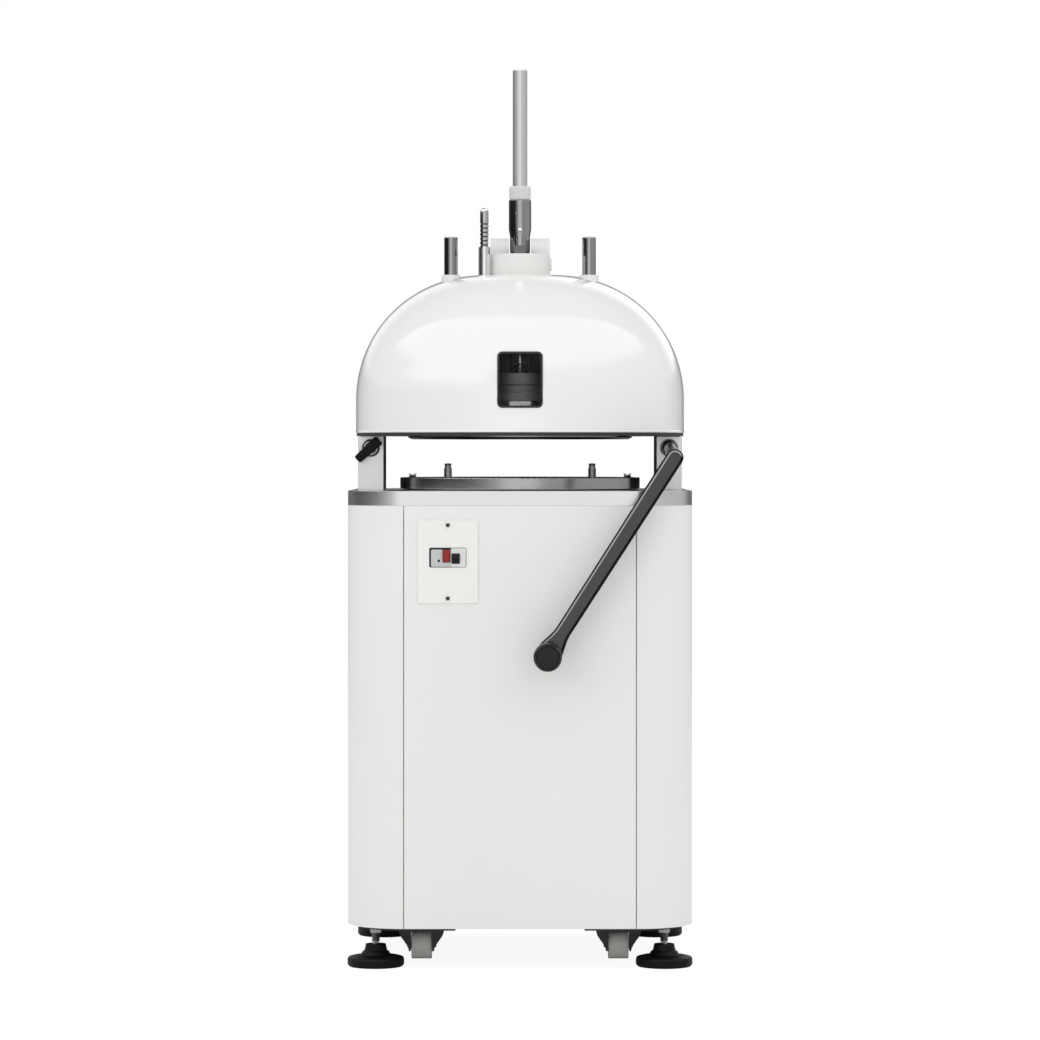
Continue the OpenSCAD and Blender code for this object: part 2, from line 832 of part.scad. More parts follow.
module foot_stems() {
    color("#9a9a9a") at_corners(foot_x, foot_y) {
        rod_z(pad_h + pad_hub_h - stem_seat, cab_z, stem_r);
        translate([0, 0, foot_h - foot_nut_h]) cylinder(r = foot_nut_r, h = foot_nut_h, $fn = 6);
    }
}

// Fork with its axle, swivelling about the Z axis at its own origin
module fork(trail) {
    color("#191919") difference() {
        union() {
            along_y(-fork_front, trail + fork_rear) difference() {
                polygon([
                    [-fork_top, crown_z + crown_t],
                    [fork_top, crown_z + crown_t],
                    [fork_top, crown_z],
                    [fork_low, fork_z],
                    [-fork_low, fork_z],
                    [-fork_top, crown_z]
                ]);
                translate([-wheel_w / 2 - 1, 0])
                    square([wheel_w + 2, wheel_lift + 2 * wheel_r + 1]);
            }
            translate([0, trail, axle_z]) rod_x(-fork_low - 1, fork_low + 1, axle_r);
        }
        rod_z(crown_z - eps, crown_z + crown_t + eps, swivel_r + run_gap);
    }
}

module wheel() {
    color("#8d8e88") translate([0, 0, axle_z]) rotate([0, 90, 0]) difference() {
        round_disc(wheel_r, wheel_w, 5);
        rod_z(-wheel_w, wheel_w, axle_r + run_gap);
    }
}

module caster_plates() {
    color("#191919") {
        at_corners(caster_x, caster_y) translate([0, 0, caster_plate_z + caster_plate_t / 2])
            cube([caster_plate_w, caster_plate_w, caster_plate_t], center = true);
        at_sides(caster_x) translate([0, -caster_y, 0]) rod_z(crown_z, caster_plate_z + eps, swivel_r);
        at_sides(caster_x) translate([0, caster_y, move_gap]) fork(0);
        at_sides(caster_x) translate([0, caster_y, 0])
            rod_z(crown_z + move_gap, caster_plate_z + eps, swivel_r + run_gap);
    }
}

module front_fork_left() {
    translate([-caster_x, -caster_y, 0]) fork(caster_trail);
}

module front_fork_right() {
    translate([caster_x, -caster_y, 0]) fork(caster_trail);
}

module front_wheel_left() {
    translate([-caster_x, caster_trail - caster_y, 0]) wheel();
}

module front_wheel_right() {
    translate([caster_x, caster_trail - caster_y, 0]) wheel();
}

module rear_wheels() {
    at_sides(caster_x) translate([0, caster_y, move_gap]) wheel();
}

module cable_gland() {
    gland_l = 26;
    color("#2a2a2a") translate([gland_x, 0, gland_z]) difference() {
        union() {
            rod_y(half_d - sheet_t - 10, half_d + 4, gland_r);
            rod_y(half_d, half_d + 6, gland_r + 3);
            rod_y(half_d, half_d + gland_l, gland_r - 1);
            rod_y(half_d - sheet_t - 8, half_d - sheet_t, gland_r + 3);
        }
        rod_y(half_d - sheet_t - 10 - eps, half_d + gland_l + eps, gland_bore_r);
    }
}

module cover_screws() {
    plate_front = panel_y - switch_t;
    color("#b5b5b3") {
        for (s = [-1, 1])
            translate([-switch_x, 0, switch_z + s * (switch_h / 2 - screw_edge)])
                rod_y(plate_front - screw_h, plate_front, screw_r);
        for (x = [-1, 1], z = [0.06, 0.5, 0.94])
            translate([x * (panel_w / 2 - 2 * fold_d), 0, cab_z + z * cab_h])
                rod_y(half_d, half_d + screw_h, screw_r);
    }
}

// Switch

module switch_plate() {
    color("#ecece9") difference() {
        translate([-switch_x, 0, switch_z]) along_y(panel_y - switch_t, panel_y)
            rounded_rect(switch_w, switch_h, 4);
        translate([-switch_x, 0, cutout_z]) along_y(panel_y - switch_t - eps, panel_y + eps)
            rounded_rect(cutout_w, cutout_h, 3);
    }
}

module button(w, h, grow, y0, y1) {
    along_y(y0, y1) rounded_rect(w + 2 * grow, h + 2 * grow, 2);
}

module switch_body() {
    pocket_end = panel_y + button_travel + 14;
    color("#b9bfbd") difference() {
        union() {
            translate([-switch_x, 0, cutout_z]) along_y(panel_y, panel_y + switch_d)
                square([back_w, back_h], center = true);
            translate([-switch_x, 0, cutout_z]) along_y(panel_y - switch_t + 1, panel_y + eps)
                rounded_rect(cutout_w - 2 * set_gap, cutout_h - 2 * set_gap, 3);
        }
        translate([stop_x, 0, stop_z]) button(stop_w, stop_h, move_gap, panel_y - 10, pocket_end);
        translate([start_x, 0, start_z]) button(start_w, start_h, move_gap, panel_y - 10, pocket_end);
    }
}

module stop_button() {
    color("#b23a3a") translate([stop_x, 0, stop_z])
        button(stop_w, stop_h, 0, panel_y - switch_t - button_proud, panel_y + 12);
}

module start_button() {
    color("#2c2f31") translate([start_x, 0, start_z])
        button(start_w, start_h, 0, panel_y - switch_t - button_proud, panel_y + 12);
}

// Columns and head

module column(x) {
    color("#c9cbcc") translate([x, 0, 0]) difference() {
        translate([-col_w / 2, -col_d / 2, deck_top]) cube([col_w, col_d, col_h]);
        translate([-col_w / 2 + col_wall, -col_d / 2 + col_wall, deck_top - eps])
            cube([col_w - 2 * col_wall, col_d - 2 * col_wall, col_h + 2 * eps]);
        translate([0, 0, shaft_z]) rod_y(-col_d, 0, bush_r);
    }
}

module column_left() {
    column(-col_x);
}

module column_right() {
    column(col_x);
}

module column_bush() {
    translate([0, 0, shaft_z]) difference() {
        union() {
            rod_y(-col_front - 4, -col_front + col_wall + 14, bush_r);
            rod_y(-col_front - 4, -col_front, bush_flange_r);
        }
        rod_y(-col_d, 0, shaft_r + run_gap);
    }
}

module bearing_bushes() {
    color("#b08d4f") {
        at_sides(col_x) column_bush();
        pipe_z(bridge_top - bridge_t, bridge_top, spindle_r + 6, spindle_r + run_gap);
        for (z = [housing_z, deck_z + housing_flange_t - bearing_h])
            pipe_z(z, z + bearing_h, drive_r + bearing_t, drive_r + run_gap);
    }
}

module head_frame() {
    leg_in = head_hole_r + head_land / 5;
    leg_out = leg_in + bridge_t;
    beam_out = post_x + 56;
    knee_z = rim_z + bridge_leg_h;
    color("#4b4d4f") difference() {
        union() {
            pipe_z(head_z, rim_z, dome_r - 1, head_hole_r);
            along_y(-bridge_d / 2, bridge_d / 2) for (s = [0, 1]) mirror([s, 0]) polygon([
                [leg_in, rim_z - 1],
                [leg_out, rim_z - 1],
                [leg_out, knee_z],
                [beam_out, bridge_top],
                [0, bridge_top],
                [0, bridge_top - bridge_t],
                [beam_out - bridge_t / 2, bridge_top - bridge_t],
                [leg_in, knee_z - bridge_t / 3]
            ]);
        }
        rod_z(bridge_top - bridge_t - eps, bridge_top + eps, spindle_r + 6);
        at_sides(post_x) rod_z(bridge_top - bridge_t - eps, bridge_top + eps, post_r + run_gap);
        translate([-scale_x, -scale_y, 0])
            rod_z(bridge_top - bridge_t - eps, bridge_top + eps, scale_r + set_gap);
    }
}

module window_prism(inset) {
    translate([0, 0, rim_z + win_sill + win_h / 2]) along_y(-dome_r - 20, -dome_r / 2)
        rounded_rect(win_w - 2 * inset, win_h - 2 * inset, win_corner - inset);
}

module dome_shell() {
    color("#f1f1ee") difference() {
        dome_layer(0, dome_t);
        rod_z(shoulder_z, dome_top + eps, neck_r + set_gap);
        at_sides(post_x) rod_z(shoulder_z, dome_top + eps, boss_r + set_gap);
        translate([-scale_x, -scale_y, 0]) rod_z(shoulder_z, dome_top + eps, sleeve_r + set_gap);
        window_prism(0);
    }
}

module window_edging() {
    color("#141414") intersection() {
        dome_layer(-edging_proud, dome_t + 1);
        difference() {
            window_prism(0);
            window_prism(edging_w);
        }
    }
}

module window_pane() {
    color("#cfd8da", 0.3) intersection() {
        dome_layer(dome_t - pane_t, dome_t);
        window_prism(edging_w);
    }
}

module lever_bracket() {
    collar_top = dome_top + collar_h;
    cheek_z = pivot_z + cheek_top - cheek_r;
    color("#eeeeeb") difference() {
        union() {
            rod_z(bridge_top, dome_top + eps, neck_r);
            rod_z(dome_top, collar_top, collar_r);
            for (s = [0, 1]) mirror([s, 0, 0]) along_x(cheek_gap, cheek_out) {
                translate([pivot_y - cheek_r, dome_top]) square([2 * cheek_r, cheek_z - dome_top]);
                translate([pivot_y, cheek_z]) circle(cheek_r);
            }
        }
        rod_z(bridge_top - eps, collar_top + eps, neck_bore_r);
        translate([-cheek_gap, 0, dome_top - slot_depth])
            cube([2 * cheek_gap, pivot_y + 2 * cheek_r, slot_depth + collar_h + eps]);
        translate([0, pivot_y, pivot_z]) rod_x(-cheek_out - eps, cheek_out + eps, pivot_r);
    }
}

module lever_pivot_pin() {
    color("#a9abad") translate([0, pivot_y, pivot_z]) {
        rod_x(-cheek_out, cheek_out, pivot_r);
        for (s = [0, 1]) mirror([s, 0, 0]) rod_x(cheek_out, cheek_out + 4, pivot_r + 4);
    }
}

module post_bosses() {
    color("#efefec") at_sides(post_x) pipe_z(bridge_top, dome_top + boss_h, boss_r, post_r + run_gap);
}

module scale_sleeve() {
    color("#d2d3d3") translate([-scale_x, -scale_y, 0])
        pipe_z(bridge_top, dome_top + sleeve_h, sleeve_r, scale_r + run_gap);
}

// Press lever

// Side view of the hub, with an involute nose that pushes the spindle down in step with the swing
module hub_profile() {
    nose = [for (i = [0 : 12])
        let (a = swing * i / 12, t = a * PI / 180)
        [-cam_k * (cos(a) + t * sin(a)), cam_k * (sin(a) - t * cos(a))]];
    tip = nose[len(nose) - 1];
    circle(hub_r);
    polygon(concat(
        [[-hub_r / 4, -hub_r / 2], [-0.6 * cam_k, 0.07 * cam_k]],
        nose,
        [tip + [6, 15], [-0.4 * cam_k, hub_h], [0, hub_h]]
    ));
}

module lever_hub() {
    half = cheek_gap - move_gap;
    color("#bfc1c3") difference() {
        union() {
            translate([0, pivot_y, pivot_z]) along_x(-half, half) circle(hub_r);
            translate([0, pivot_y, pivot_z]) along_x(-half / 2, half / 2) hub_profile();
            translate([0, pivot_y, 0]) rod_z(pivot_z, socket_z, socket_low_r);
            translate([0, pivot_y, 0]) rod_z(pivot_z, socket_z + 16, socket_low_r / 2);
        }
        translate([0, pivot_y, pivot_z]) rod_x(-cheek_gap, cheek_gap, pivot_r + run_gap);
    }
}

module lever_socket() {
    wide_z = socket_z + socket_low_h + socket_taper_h;
    color("#c6c8ca") translate([0, pivot_y, 0]) difference() {
        union() {
            rod_z(socket_z, wide_z, socket_low_r);
            translate([0, 0, socket_z + socket_low_h])
                cylinder(r1 = socket_low_r, r2 = socket_r, h = socket_taper_h);
            rod_z(wide_z, socket_top, socket_r);
        }
        rod_z(socket_top - socket_bore_h, socket_top + eps, tube_r + run_gap);
        rod_z(socket_z - eps, socket_z + 16, socket_low_r / 2 + run_gap);
        translate([-slit_w / 2, -2 * socket_r, socket_z - eps])
            cube([slit_w, 2 * socket_r - socket_low_r / 2, socket_low_h + socket_taper_h + eps]);
    }
}

module socket_ring() {
    color("#ededea") translate([0, pivot_y, 0])
        pipe_z(socket_top, cuff_top, cuff_r, tube_r + run_gap);
}

module lever_tube() {
    color("#a2a3a4") translate([0, pivot_y, 0]) difference() {
        rod_z(socket_top - socket_bore_h, tube_top, tube_r);
        rod_z(socket_top - socket_bore_h - eps, tube_top - plug_t, tube_r - tube_t);
    }
}

// Press head

module press_spindle() {
    color("#b7b9bb") {
        rod_z(drum_top, cap_z, spindle_r);
        rod_z(cap_z - cap_t, cap_z, cap_r);
    }
}

module crosshead() {
    groove_z = flange_top + drum_h / 3;
    color("#8d9092") difference() {
        union() {
            rod_z(ring_top, flange_top, flange_r);
            pipe_z(flange_top - eps, drum_top, drum_r, drum_r - drum_t);
            rod_z(flange_top - eps, drum_top, 2.4 * spindle_r);
        }
        pipe_z(groove_z, groove_z + drum_groove, drum_r + eps, drum_r - drum_groove);
        for (a = knife_rod_angles) rotate(a) translate([knife_radii[2], 0, 0])
            rod_z(ring_top - eps, flange_top + eps, knife_rod_r + run_gap);
    }
}

module guide_posts() {
    color("#c3c5c7") at_sides(post_x) {
        rod_z(flange_top, dome_top + post_h - 2, post_r);
        translate([0, 0, dome_top + post_h - 2]) cylinder(r1 = post_r, r2 = post_r - 2, h = 2);
    }
}

module scale_rod() {
    top = dome_top + scale_h;
    first = dome_top + sleeve_h + mark_pitch / 2;
    color("#c3c5c7") translate([-scale_x, -scale_y, 0]) difference() {
        union() {
            rod_z(flange_top, top - scale_r, scale_r);
            translate([0, 0, top - scale_r]) sphere(scale_r);
        }
        for (i = [0 : scale_marks - 1])
            pipe_z(first + i * mark_pitch, first + i * mark_pitch + 2, scale_r + eps, scale_r - mark_depth);
    }
}

module press_ring() {
    chamfer = 2.5;
    color("#c9cbcc") difference() {
        union() {
            rod_z(ring_z + chamfer, ring_top, ring_r);
            translate([0, 0, ring_z]) cylinder(r1 = ring_r - chamfer, r2 = ring_r, h = chamfer);
        }
        rod_z(ring_z - eps, ring_top + eps, ring_in);
    }
}

// One ring of pads, parted by radial knife slots, each pad with its stem
module pad_ring(i) {
    count = knife_counts[i];
    r_in = i == 0 ? 0 : knife_radii[i] + knife_slot / 2;
    r_out = knife_radii[i + 1] - (i == 2 ? 0 : knife_slot / 2);
    r_stem = (knife_radii[i] + r_out) / 2 * (i == 0 ? 1.2 : 1);
    difference() {
        union() {
            difference() {
                rod_z(pads_z, pads_z + press_pad_t, r_out);
                if (i > 0) rod_z(pads_z - eps, pads_z + press_pad_t + eps, r_in);
            }
            for (j = [0 : count - 1]) rotate((j + 0.5) * 360 / count) translate([r_stem, 0, 0])
                rod_z(pads_z + press_pad_t - eps, ring_top, pad_stem_r);
        }
        for (j = [0 : count - 1]) rotate(j * 360 / count)
            translate([0, -knife_slot / 2, pads_z - eps])
                cube([r_out + eps, knife_slot, press_pad_t + 2 * eps]);
    }
}

module press_pads() {
    color("#d6d6d0") for (i = [0 : 2]) pad_ring(i);
}

module knife_star() {
    color("#b4b7b9") union() {
        for (i = [1, 2])
            pipe_z(pads_z, pads_z + knife_h, knife_radii[i] + knife_t / 2, knife_radii[i] - knife_t / 2);
        for (i = [0 : 2], j = [0 : knife_counts[i] - 1]) rotate(j * 360 / knife_counts[i])
            translate([knife_radii[i], -knife_t / 2, pads_z])
                cube([knife_radii[i + 1] - knife_radii[i], knife_t, knife_h]);
        for (a = knife_rod_angles) rotate(a) translate([knife_radii[2], 0, 0]) {
            rod_z(pads_z + knife_h - 8, knife_nut_z + knife_nut_h + 8, knife_rod_r);
            rod_z(knife_nut_z, knife_nut_z + knife_nut_h, knife_nut_r);
        }
    }
}

module return_springs() {
    color("#7d7f80") at_sides(spring_x)
        coil(spring_r, spring_wire_r, spring_turns, flange_top + move_gap, bridge_top - bridge_t);
}

module knife_springs() {
    coil_r = knife_rod_r + 2 * knife_spring_wire;
    color("#7d7f80") for (a = knife_rod_angles) rotate(a) translate([knife_radii[2], 0, 0])
        coil(coil_r, knife_spring_wire, knife_spring_turns, flange_top, knife_nut_z - move_gap);
}

// Rounding lever and its brake rod

module rounding_shaft() {
    web_y = -14;
    color("#8f9193") translate([col_x, 0, shaft_z]) {
        rod_y(boss_end + 8, web_y + 1, shaft_r);
        rotate([0, crank_rest, 0]) {
            along_y(web_y, 0) {
                circle(shaft_r + 1);
                translate([0, -crank_pin_r - 2]) square([crank_r, 2 * crank_pin_r + 4]);
                translate([crank_r, 0]) circle(crank_pin_r + 2);
            }
            translate([crank_r, 0, 0]) rod_y(-eps, rod_y + rod_r, crank_pin_r);
        }
    }
}

module rounding_arm() {
    knuckle = 0.6;
    neck_run = norm([arm_y - boss_end, arm_drop]);
    neck_tilt = atan2(arm_drop, boss_end - arm_y);
    color("#2b2b2c") difference() {
        union() {
            translate([col_x, 0, shaft_z]) rod_y(boss_end, boss_y, arm_boss_r);
            translate([col_x, boss_end, shaft_z]) rotate([90, 0, 0]) sphere(arm_boss_r + knuckle);
            translate([col_x, boss_end, shaft_z]) rotate([90 + neck_tilt, 0, 0])
                cylinder(r = arm_boss_r - knuckle, h = neck_run);
            translate([col_x, arm_y, arm_z]) sphere(arm_r - knuckle);
            translate([col_x, 0, arm_z]) rotate([0, arm_angle, 0])
                along_y(arm_y - arm_t / 2, arm_y + arm_t / 2) {
                    circle(arm_r);
                    translate([-arm_r, -arm_l]) square([2 * arm_r, arm_l]);
                    translate([0, -arm_l]) circle(grip_r - 2);
                }
        }
        translate([col_x, 0, shaft_z]) rod_y(boss_end + 8, 0, shaft_r + run_gap);
    }
}

module rounding_grip() {
    grip_y = arm_y - arm_t / 2;
    cap_recess = 1.5;
    color("#1a1a1a") translate([grip_x, grip_y - grip_l / 2, grip_z]) rotate([90, 0, 0]) difference() {
        round_disc(grip_r, grip_l, 5);
        translate([0, 0, grip_l / 2 - cap_recess])
            pipe_z(0, 2 * cap_recess, 0.82 * grip_r, 0.72 * grip_r);
    }
}

module pull_rod() {
    yoke_h = 2 * crank_pin_r + 10;
    slot_h = 2 * (crank_pin_r + slot_gap);
    half = col_w / 2 - col_wall - 2;
    color("#97999b") {
        difference() {
            translate([col_x - half, rod_y - rod_r, yoke_z - yoke_h / 2])
                cube([2 * half, 2 * rod_r, yoke_h]);
            translate([col_x + crank_r / 4, 0, yoke_z - slot_h / 2])
                cube([half, 4 * rod_y, slot_h]);
        }
        translate([col_x, rod_y, 0]) rod_z(rod_pin_z - crank_pin_r - 2, yoke_z - yoke_h / 2 + eps, rod_r);
        translate([col_x, 0, rod_pin_z]) rod_y(rod_y, brake_y + brake_t, crank_pin_r);
    }
}

module brake_arm() {
    shoe_l = brake_x - shoe_x;
    slot_h = 2 * (crank_pin_r + slot_gap);
    tail = brake_reach + 12;
    color("#5a5c5e") translate([brake_x, 0, brake_z]) rotate([0, brake_tilt, 0]) difference() {
        union() {
            along_y(brake_y, brake_y + brake_t)
                translate([-shoe_l - 10, -brake_bar_h / 2]) square([shoe_l + tail + 10, brake_bar_h]);
            translate([-shoe_l, brake_y + brake_t / 2, brake_bar_h / 2 - eps]) rotate([0, -brake_tilt, 0])
                translate([-14, -9, 0]) cube([28, 18, shoe_t]);
        }
        rod_y(brake_y - eps, brake_y + brake_t + eps, brake_pivot_r + run_gap);
        translate([brake_reach - 8, brake_y - eps, -slot_h / 2])
            cube([tail, brake_t + 2 * eps, slot_h]);
    }
}

module lock_knob() {
    rose_y = -col_front - 4 - move_gap;
    bar_y = rose_y - rose_t;
    color("#1b1b1b") translate([-col_x, 0, shaft_z]) {
        rod_y(bar_y + eps, -col_front + 2 * bush_r, shaft_r);
        rod_y(bar_y, rose_y, rose_r);
        rotate([0, -bar_angle, 0]) along_y(bar_y - bar_t, bar_y + eps) {
            for (s = [-1, 1]) {
                translate([bar_l - bar_round, s * (bar_w / 2 - bar_round)]) circle(bar_round);
                translate([bar_round - bar_tail_l, s * (bar_tail_w / 2 - bar_round)]) circle(bar_round);
            }
            polygon([
                [bar_l, bar_w / 2 - bar_round],
                [bar_l - bar_round, bar_w / 2],
                [bar_round - bar_tail_l, bar_tail_w / 2],
                [-bar_tail_l, bar_tail_w / 2 - bar_round],
                [-bar_tail_l, bar_round - bar_tail_w / 2],
                [bar_round - bar_tail_l, -bar_tail_w / 2],
                [bar_l - bar_round, -bar_w / 2],
                [bar_l, bar_round - bar_w / 2]
            ]);
        }
    }
}

// Table and drive

module crank(shaft, disc, shoulder, pin, z0) {
    rod_z(z0, pin_z + eps, shaft);
    rod_z(pin_z, crank_top, disc);
    translate([0, -orbit_r, 0]) {
        rod_z(crank_top - eps, table_z - move_gap, shoulder);
        rod_z(crank_top, pin_top - move_gap, pin);
    }
}

module pulley(r, bore) {
    difference() {
        rod_z(pulley_z, pulley_z + pulley_h, r);
        pipe_z(belt_z - move_gap, belt_z + belt_w + move_gap, r + eps, r - belt_in - move_gap);
        rod_z(pulley_z - eps, pulley_z + pulley_h + eps, bore);
    }
}

module drive_crank() {
    color("#6e7173") {
        crank(drive_r, crank_disc_r, shoulder_pin_r, drive_pin_r, pulley_z);
        pulley(pulley_r, drive_r + run_gap / 2);
    }
}

module guide_crank(x) {
    color("#6e7173") translate([x, guide_y, 0])
        crank(guide_r, guide_disc_r, guide_shoulder_r, guide_pin_r, housing_z);
}

module guide_crank_left() {
    guide_crank(-guide_x);
}

module guide_crank_right() {
    guide_crank(guide_x);
}

module rounding_table() {
    color("#c7c9ca") translate([0, -orbit_r, 0]) difference() {
        translate([0, 0, table_z + table_t / 2]) round_disc(table_r, table_t, 1.5);
        rod_z(table_z - eps, pin_top, drive_pin_r + run_gap);
        at_sides(guide_x) translate([0, guide_y, 0]) rod_z(table_z - eps, pin_top, guide_pin_r + run_gap);
    }
}

module locating_stud() {
    neck_h = 5;
    head_h = 4;
    rod_z(table_top, table_top + stud_h - neck_h - head_h, stud_r);
    rod_z(table_top, table_top + stud_h, stud_r - 1.5);
    translate([0, 0, table_top + stud_h - head_h]) cylinder(r1 = stud_r - 0.5, r2 = stud_r - 1.5, h = head_h);
}

module wing_stud() {
    cylinder_z = table_top;
    translate([0, 0, cylinder_z]) cylinder(r1 = wing_r + 2, r2 = wing_r, h = wing_h / 2);
    for (s = [0, 1]) mirror([s, 0, 0]) translate([0, 0, cylinder_z]) along_y(-2, 2)
        polygon([[0, 0], [wing_r, wing_h / 2], [wing_r + 2, wing_h], [wing_r - 1, wing_h], [0, wing_h / 2 + 1]]);
}

module plate_studs() {
    color("#3b3c3d") translate([0, -orbit_r, 0]) {
        at_sides(stud_x) locating_stud();
        at_sides(wing_x) wing_stud();
    }
}

module bearing_housings() {
    color("#777b7e") {
        difference() {
            union() {
                rod_z(housing_z, deck_z + eps, housing_r);
                rod_z(deck_z, deck_z + housing_flange_t, housing_r + 15);
            }
            rod_z(housing_z - eps, deck_top, drive_r + bearing_t);
        }
        at_sides(guide_x) translate([0, guide_y, 0]) difference() {
            union() {
                rod_z(housing_z, deck_z + eps, guide_housing_r);
                rod_z(deck_z, deck_z + housing_flange_t, guide_housing_r + 8);
            }
            rod_z(housing_z - eps, deck_top, guide_r + run_gap);
        }
    }
}

module drive_belt() {
    module loop(inset) {
        hull() {
            circle(pulley_r - inset);
            translate([0, motor_y]) circle(motor_pulley_r - inset);
        }
    }
    color("#1d1d1d") translate([0, 0, belt_z]) linear_extrude(belt_w) difference() {
        loop(belt_in - belt_t);
        loop(belt_in);
    }
}

module motor() {
    fin_h = 6;
    color("#5f6b74") translate([0, motor_y, 0]) difference() {
        union() {
            rod_z(shelf_z - motor_h, shelf_z, motor_r - fin_h);
            rod_z(shelf_z - 8, shelf_z, motor_r + 8);
            rod_z(shelf_z - motor_h - 30, shelf_z - motor_h + 12, motor_r - 2);
            for (i = [0 : motor_fins - 1]) rotate(i * 360 / motor_fins)
                translate([0, -1.5, shelf_z - motor_h + 16]) cube([motor_r, 3, motor_h - 40]);
        }
        rod_z(shelf_z - 60, shelf_z + eps, motor_shaft_r + run_gap);
    }
}

module motor_pulley() {
    color("#6e7173") translate([0, motor_y, 0]) {
        rod_z(shelf_z - 55, pulley_z + pulley_h, motor_shaft_r);
        pulley(motor_pulley_r, motor_shaft_r + run_gap / 2);
    }
}

base_rails();
inner_frame();
side_shell_left();
side_shell_right();
front_panel();
rear_panel();
deck_plate();
column_left();
column_right();
head_frame();
dome_shell();
window_edging();
window_pane();
lever_bracket();
lever_pivot_pin();
post_bosses();
scale_sleeve();
bearing_bushes();
return_springs();
switch_plate();
switch_body();
cover_screws();
cable_gland();
motor();
drive_belt();
bearing_housings();
foot_pads();
foot_stems();
caster_plates();
lever_hub();
lever_socket();
socket_ring();
lever_tube();
press_spindle();
crosshead();
guide_posts();
scale_rod();
press_ring();
press_pads();
knife_springs();
knife_star();
rounding_shaft();
rounding_arm();
rounding_grip();
pull_rod();
brake_arm();
lock_knob();
drive_crank();
rounding_table();
plate_studs();
guide_crank_left();
guide_crank_right();
motor_pulley();
start_button();
stop_button();
front_fork_left();
front_fork_right();
front_wheel_left();
front_wheel_right();
rear_wheels();
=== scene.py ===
# %% [markdown]
# # Dressing a divider rounder
# A divider rounder presses a slab of dough flat, cuts it into pieces and rolls each piece round.
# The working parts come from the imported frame. This lesson gives them their finishes, rounds the edges
# that catch the light, and builds the turned, moulded and bent pieces that need more shape.

# %% Load the frame
import json
import math

import bmesh
import bpy
from mathutils import Matrix, Vector


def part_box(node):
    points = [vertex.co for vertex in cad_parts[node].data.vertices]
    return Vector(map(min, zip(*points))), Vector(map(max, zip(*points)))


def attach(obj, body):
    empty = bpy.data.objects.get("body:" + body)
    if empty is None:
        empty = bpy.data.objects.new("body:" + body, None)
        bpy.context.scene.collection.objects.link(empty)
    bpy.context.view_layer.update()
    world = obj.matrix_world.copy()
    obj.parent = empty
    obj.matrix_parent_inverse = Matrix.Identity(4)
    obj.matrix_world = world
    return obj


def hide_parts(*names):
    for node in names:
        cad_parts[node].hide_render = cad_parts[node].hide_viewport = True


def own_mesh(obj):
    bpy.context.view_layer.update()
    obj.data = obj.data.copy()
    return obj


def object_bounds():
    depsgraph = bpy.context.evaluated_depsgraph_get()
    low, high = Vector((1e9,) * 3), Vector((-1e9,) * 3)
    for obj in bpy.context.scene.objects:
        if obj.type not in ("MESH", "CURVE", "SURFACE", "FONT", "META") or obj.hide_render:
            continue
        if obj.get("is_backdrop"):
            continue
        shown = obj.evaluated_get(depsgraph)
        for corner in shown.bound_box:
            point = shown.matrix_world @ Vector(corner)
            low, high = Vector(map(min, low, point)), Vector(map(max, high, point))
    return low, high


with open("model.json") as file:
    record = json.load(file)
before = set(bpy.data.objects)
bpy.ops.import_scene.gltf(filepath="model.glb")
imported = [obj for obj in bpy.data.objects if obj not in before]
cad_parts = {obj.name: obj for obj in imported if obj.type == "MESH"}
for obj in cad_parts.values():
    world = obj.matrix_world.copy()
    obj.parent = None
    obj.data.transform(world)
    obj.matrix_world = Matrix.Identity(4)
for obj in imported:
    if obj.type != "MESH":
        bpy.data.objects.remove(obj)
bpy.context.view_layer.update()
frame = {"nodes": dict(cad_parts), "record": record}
for thing in frame["nodes"].values():
    thing.data.materials.clear()
for material in list(bpy.data.materials):
    bpy.data.materials.remove(material)
MM = 0.001

# %% [markdown]
# ## Camera
# The photograph was taken straight from the front with a long lens, so upright edges stay upright. A level
# camera with a small downward shift keeps them so; tilting the camera would lean them together.

# %% Camera
PHOTO_SIDE = 1040
HORIZON_ROW = 450
PIXELS_PER_RADIAN = 4184
CAMERA_DISTANCE = 8.0
CAMERA_HEIGHT = 0.9555
SENSOR = 36.0

camera_data = bpy.data.cameras.new("front_camera")
camera_data.sensor_width = SENSOR
camera_data.lens = SENSOR * PIXELS_PER_RADIAN / PHOTO_SIDE
camera_data.shift_y = (HORIZON_ROW - PHOTO_SIDE / 2) / PHOTO_SIDE
camera = bpy.data.objects.new("front_camera", camera_data)
camera.location = (0, -CAMERA_DISTANCE, CAMERA_HEIGHT)
camera.rotation_euler = (math.pi / 2, 0, 0)
bpy.context.scene.collection.objects.link(camera)
bpy.context.scene.camera = camera
bpy.context.scene.view_settings.view_transform = "Standard"
print("camera: lens", round(camera_data.lens, 1), "mm, shift", round(camera_data.shift_y, 4))

# %% [markdown]
# ## Shader sums
# A finish is easier to read as a sum than as a list of links. One small class wraps a socket, so that
# adding or multiplying two of them adds a Math node, and one method makes every other kind of node.


# %% Shader sums
class Sum:
    """A shader value that can stand in a Python sum."""

    def __init__(self, tree, socket):
        self.tree = tree
        self.socket = socket

    def _math(self, operation, first, second):
        return self.tree.add("ShaderNodeMath", {"operation": operation}, {0: first, 1: second})

    def __add__(self, other):
        return self._math("ADD", self, other)

    def __sub__(self, other):
        return self._math("SUBTRACT", self, other)

    def __rsub__(self, other):
        return self._math("SUBTRACT", other, self)

    def __mul__(self, other):
        return self._math("MULTIPLY", self, other)

    def __pow__(self, other):
        return self._math("POWER", self, other)

    __radd__ = __add__
    __rmul__ = __mul__


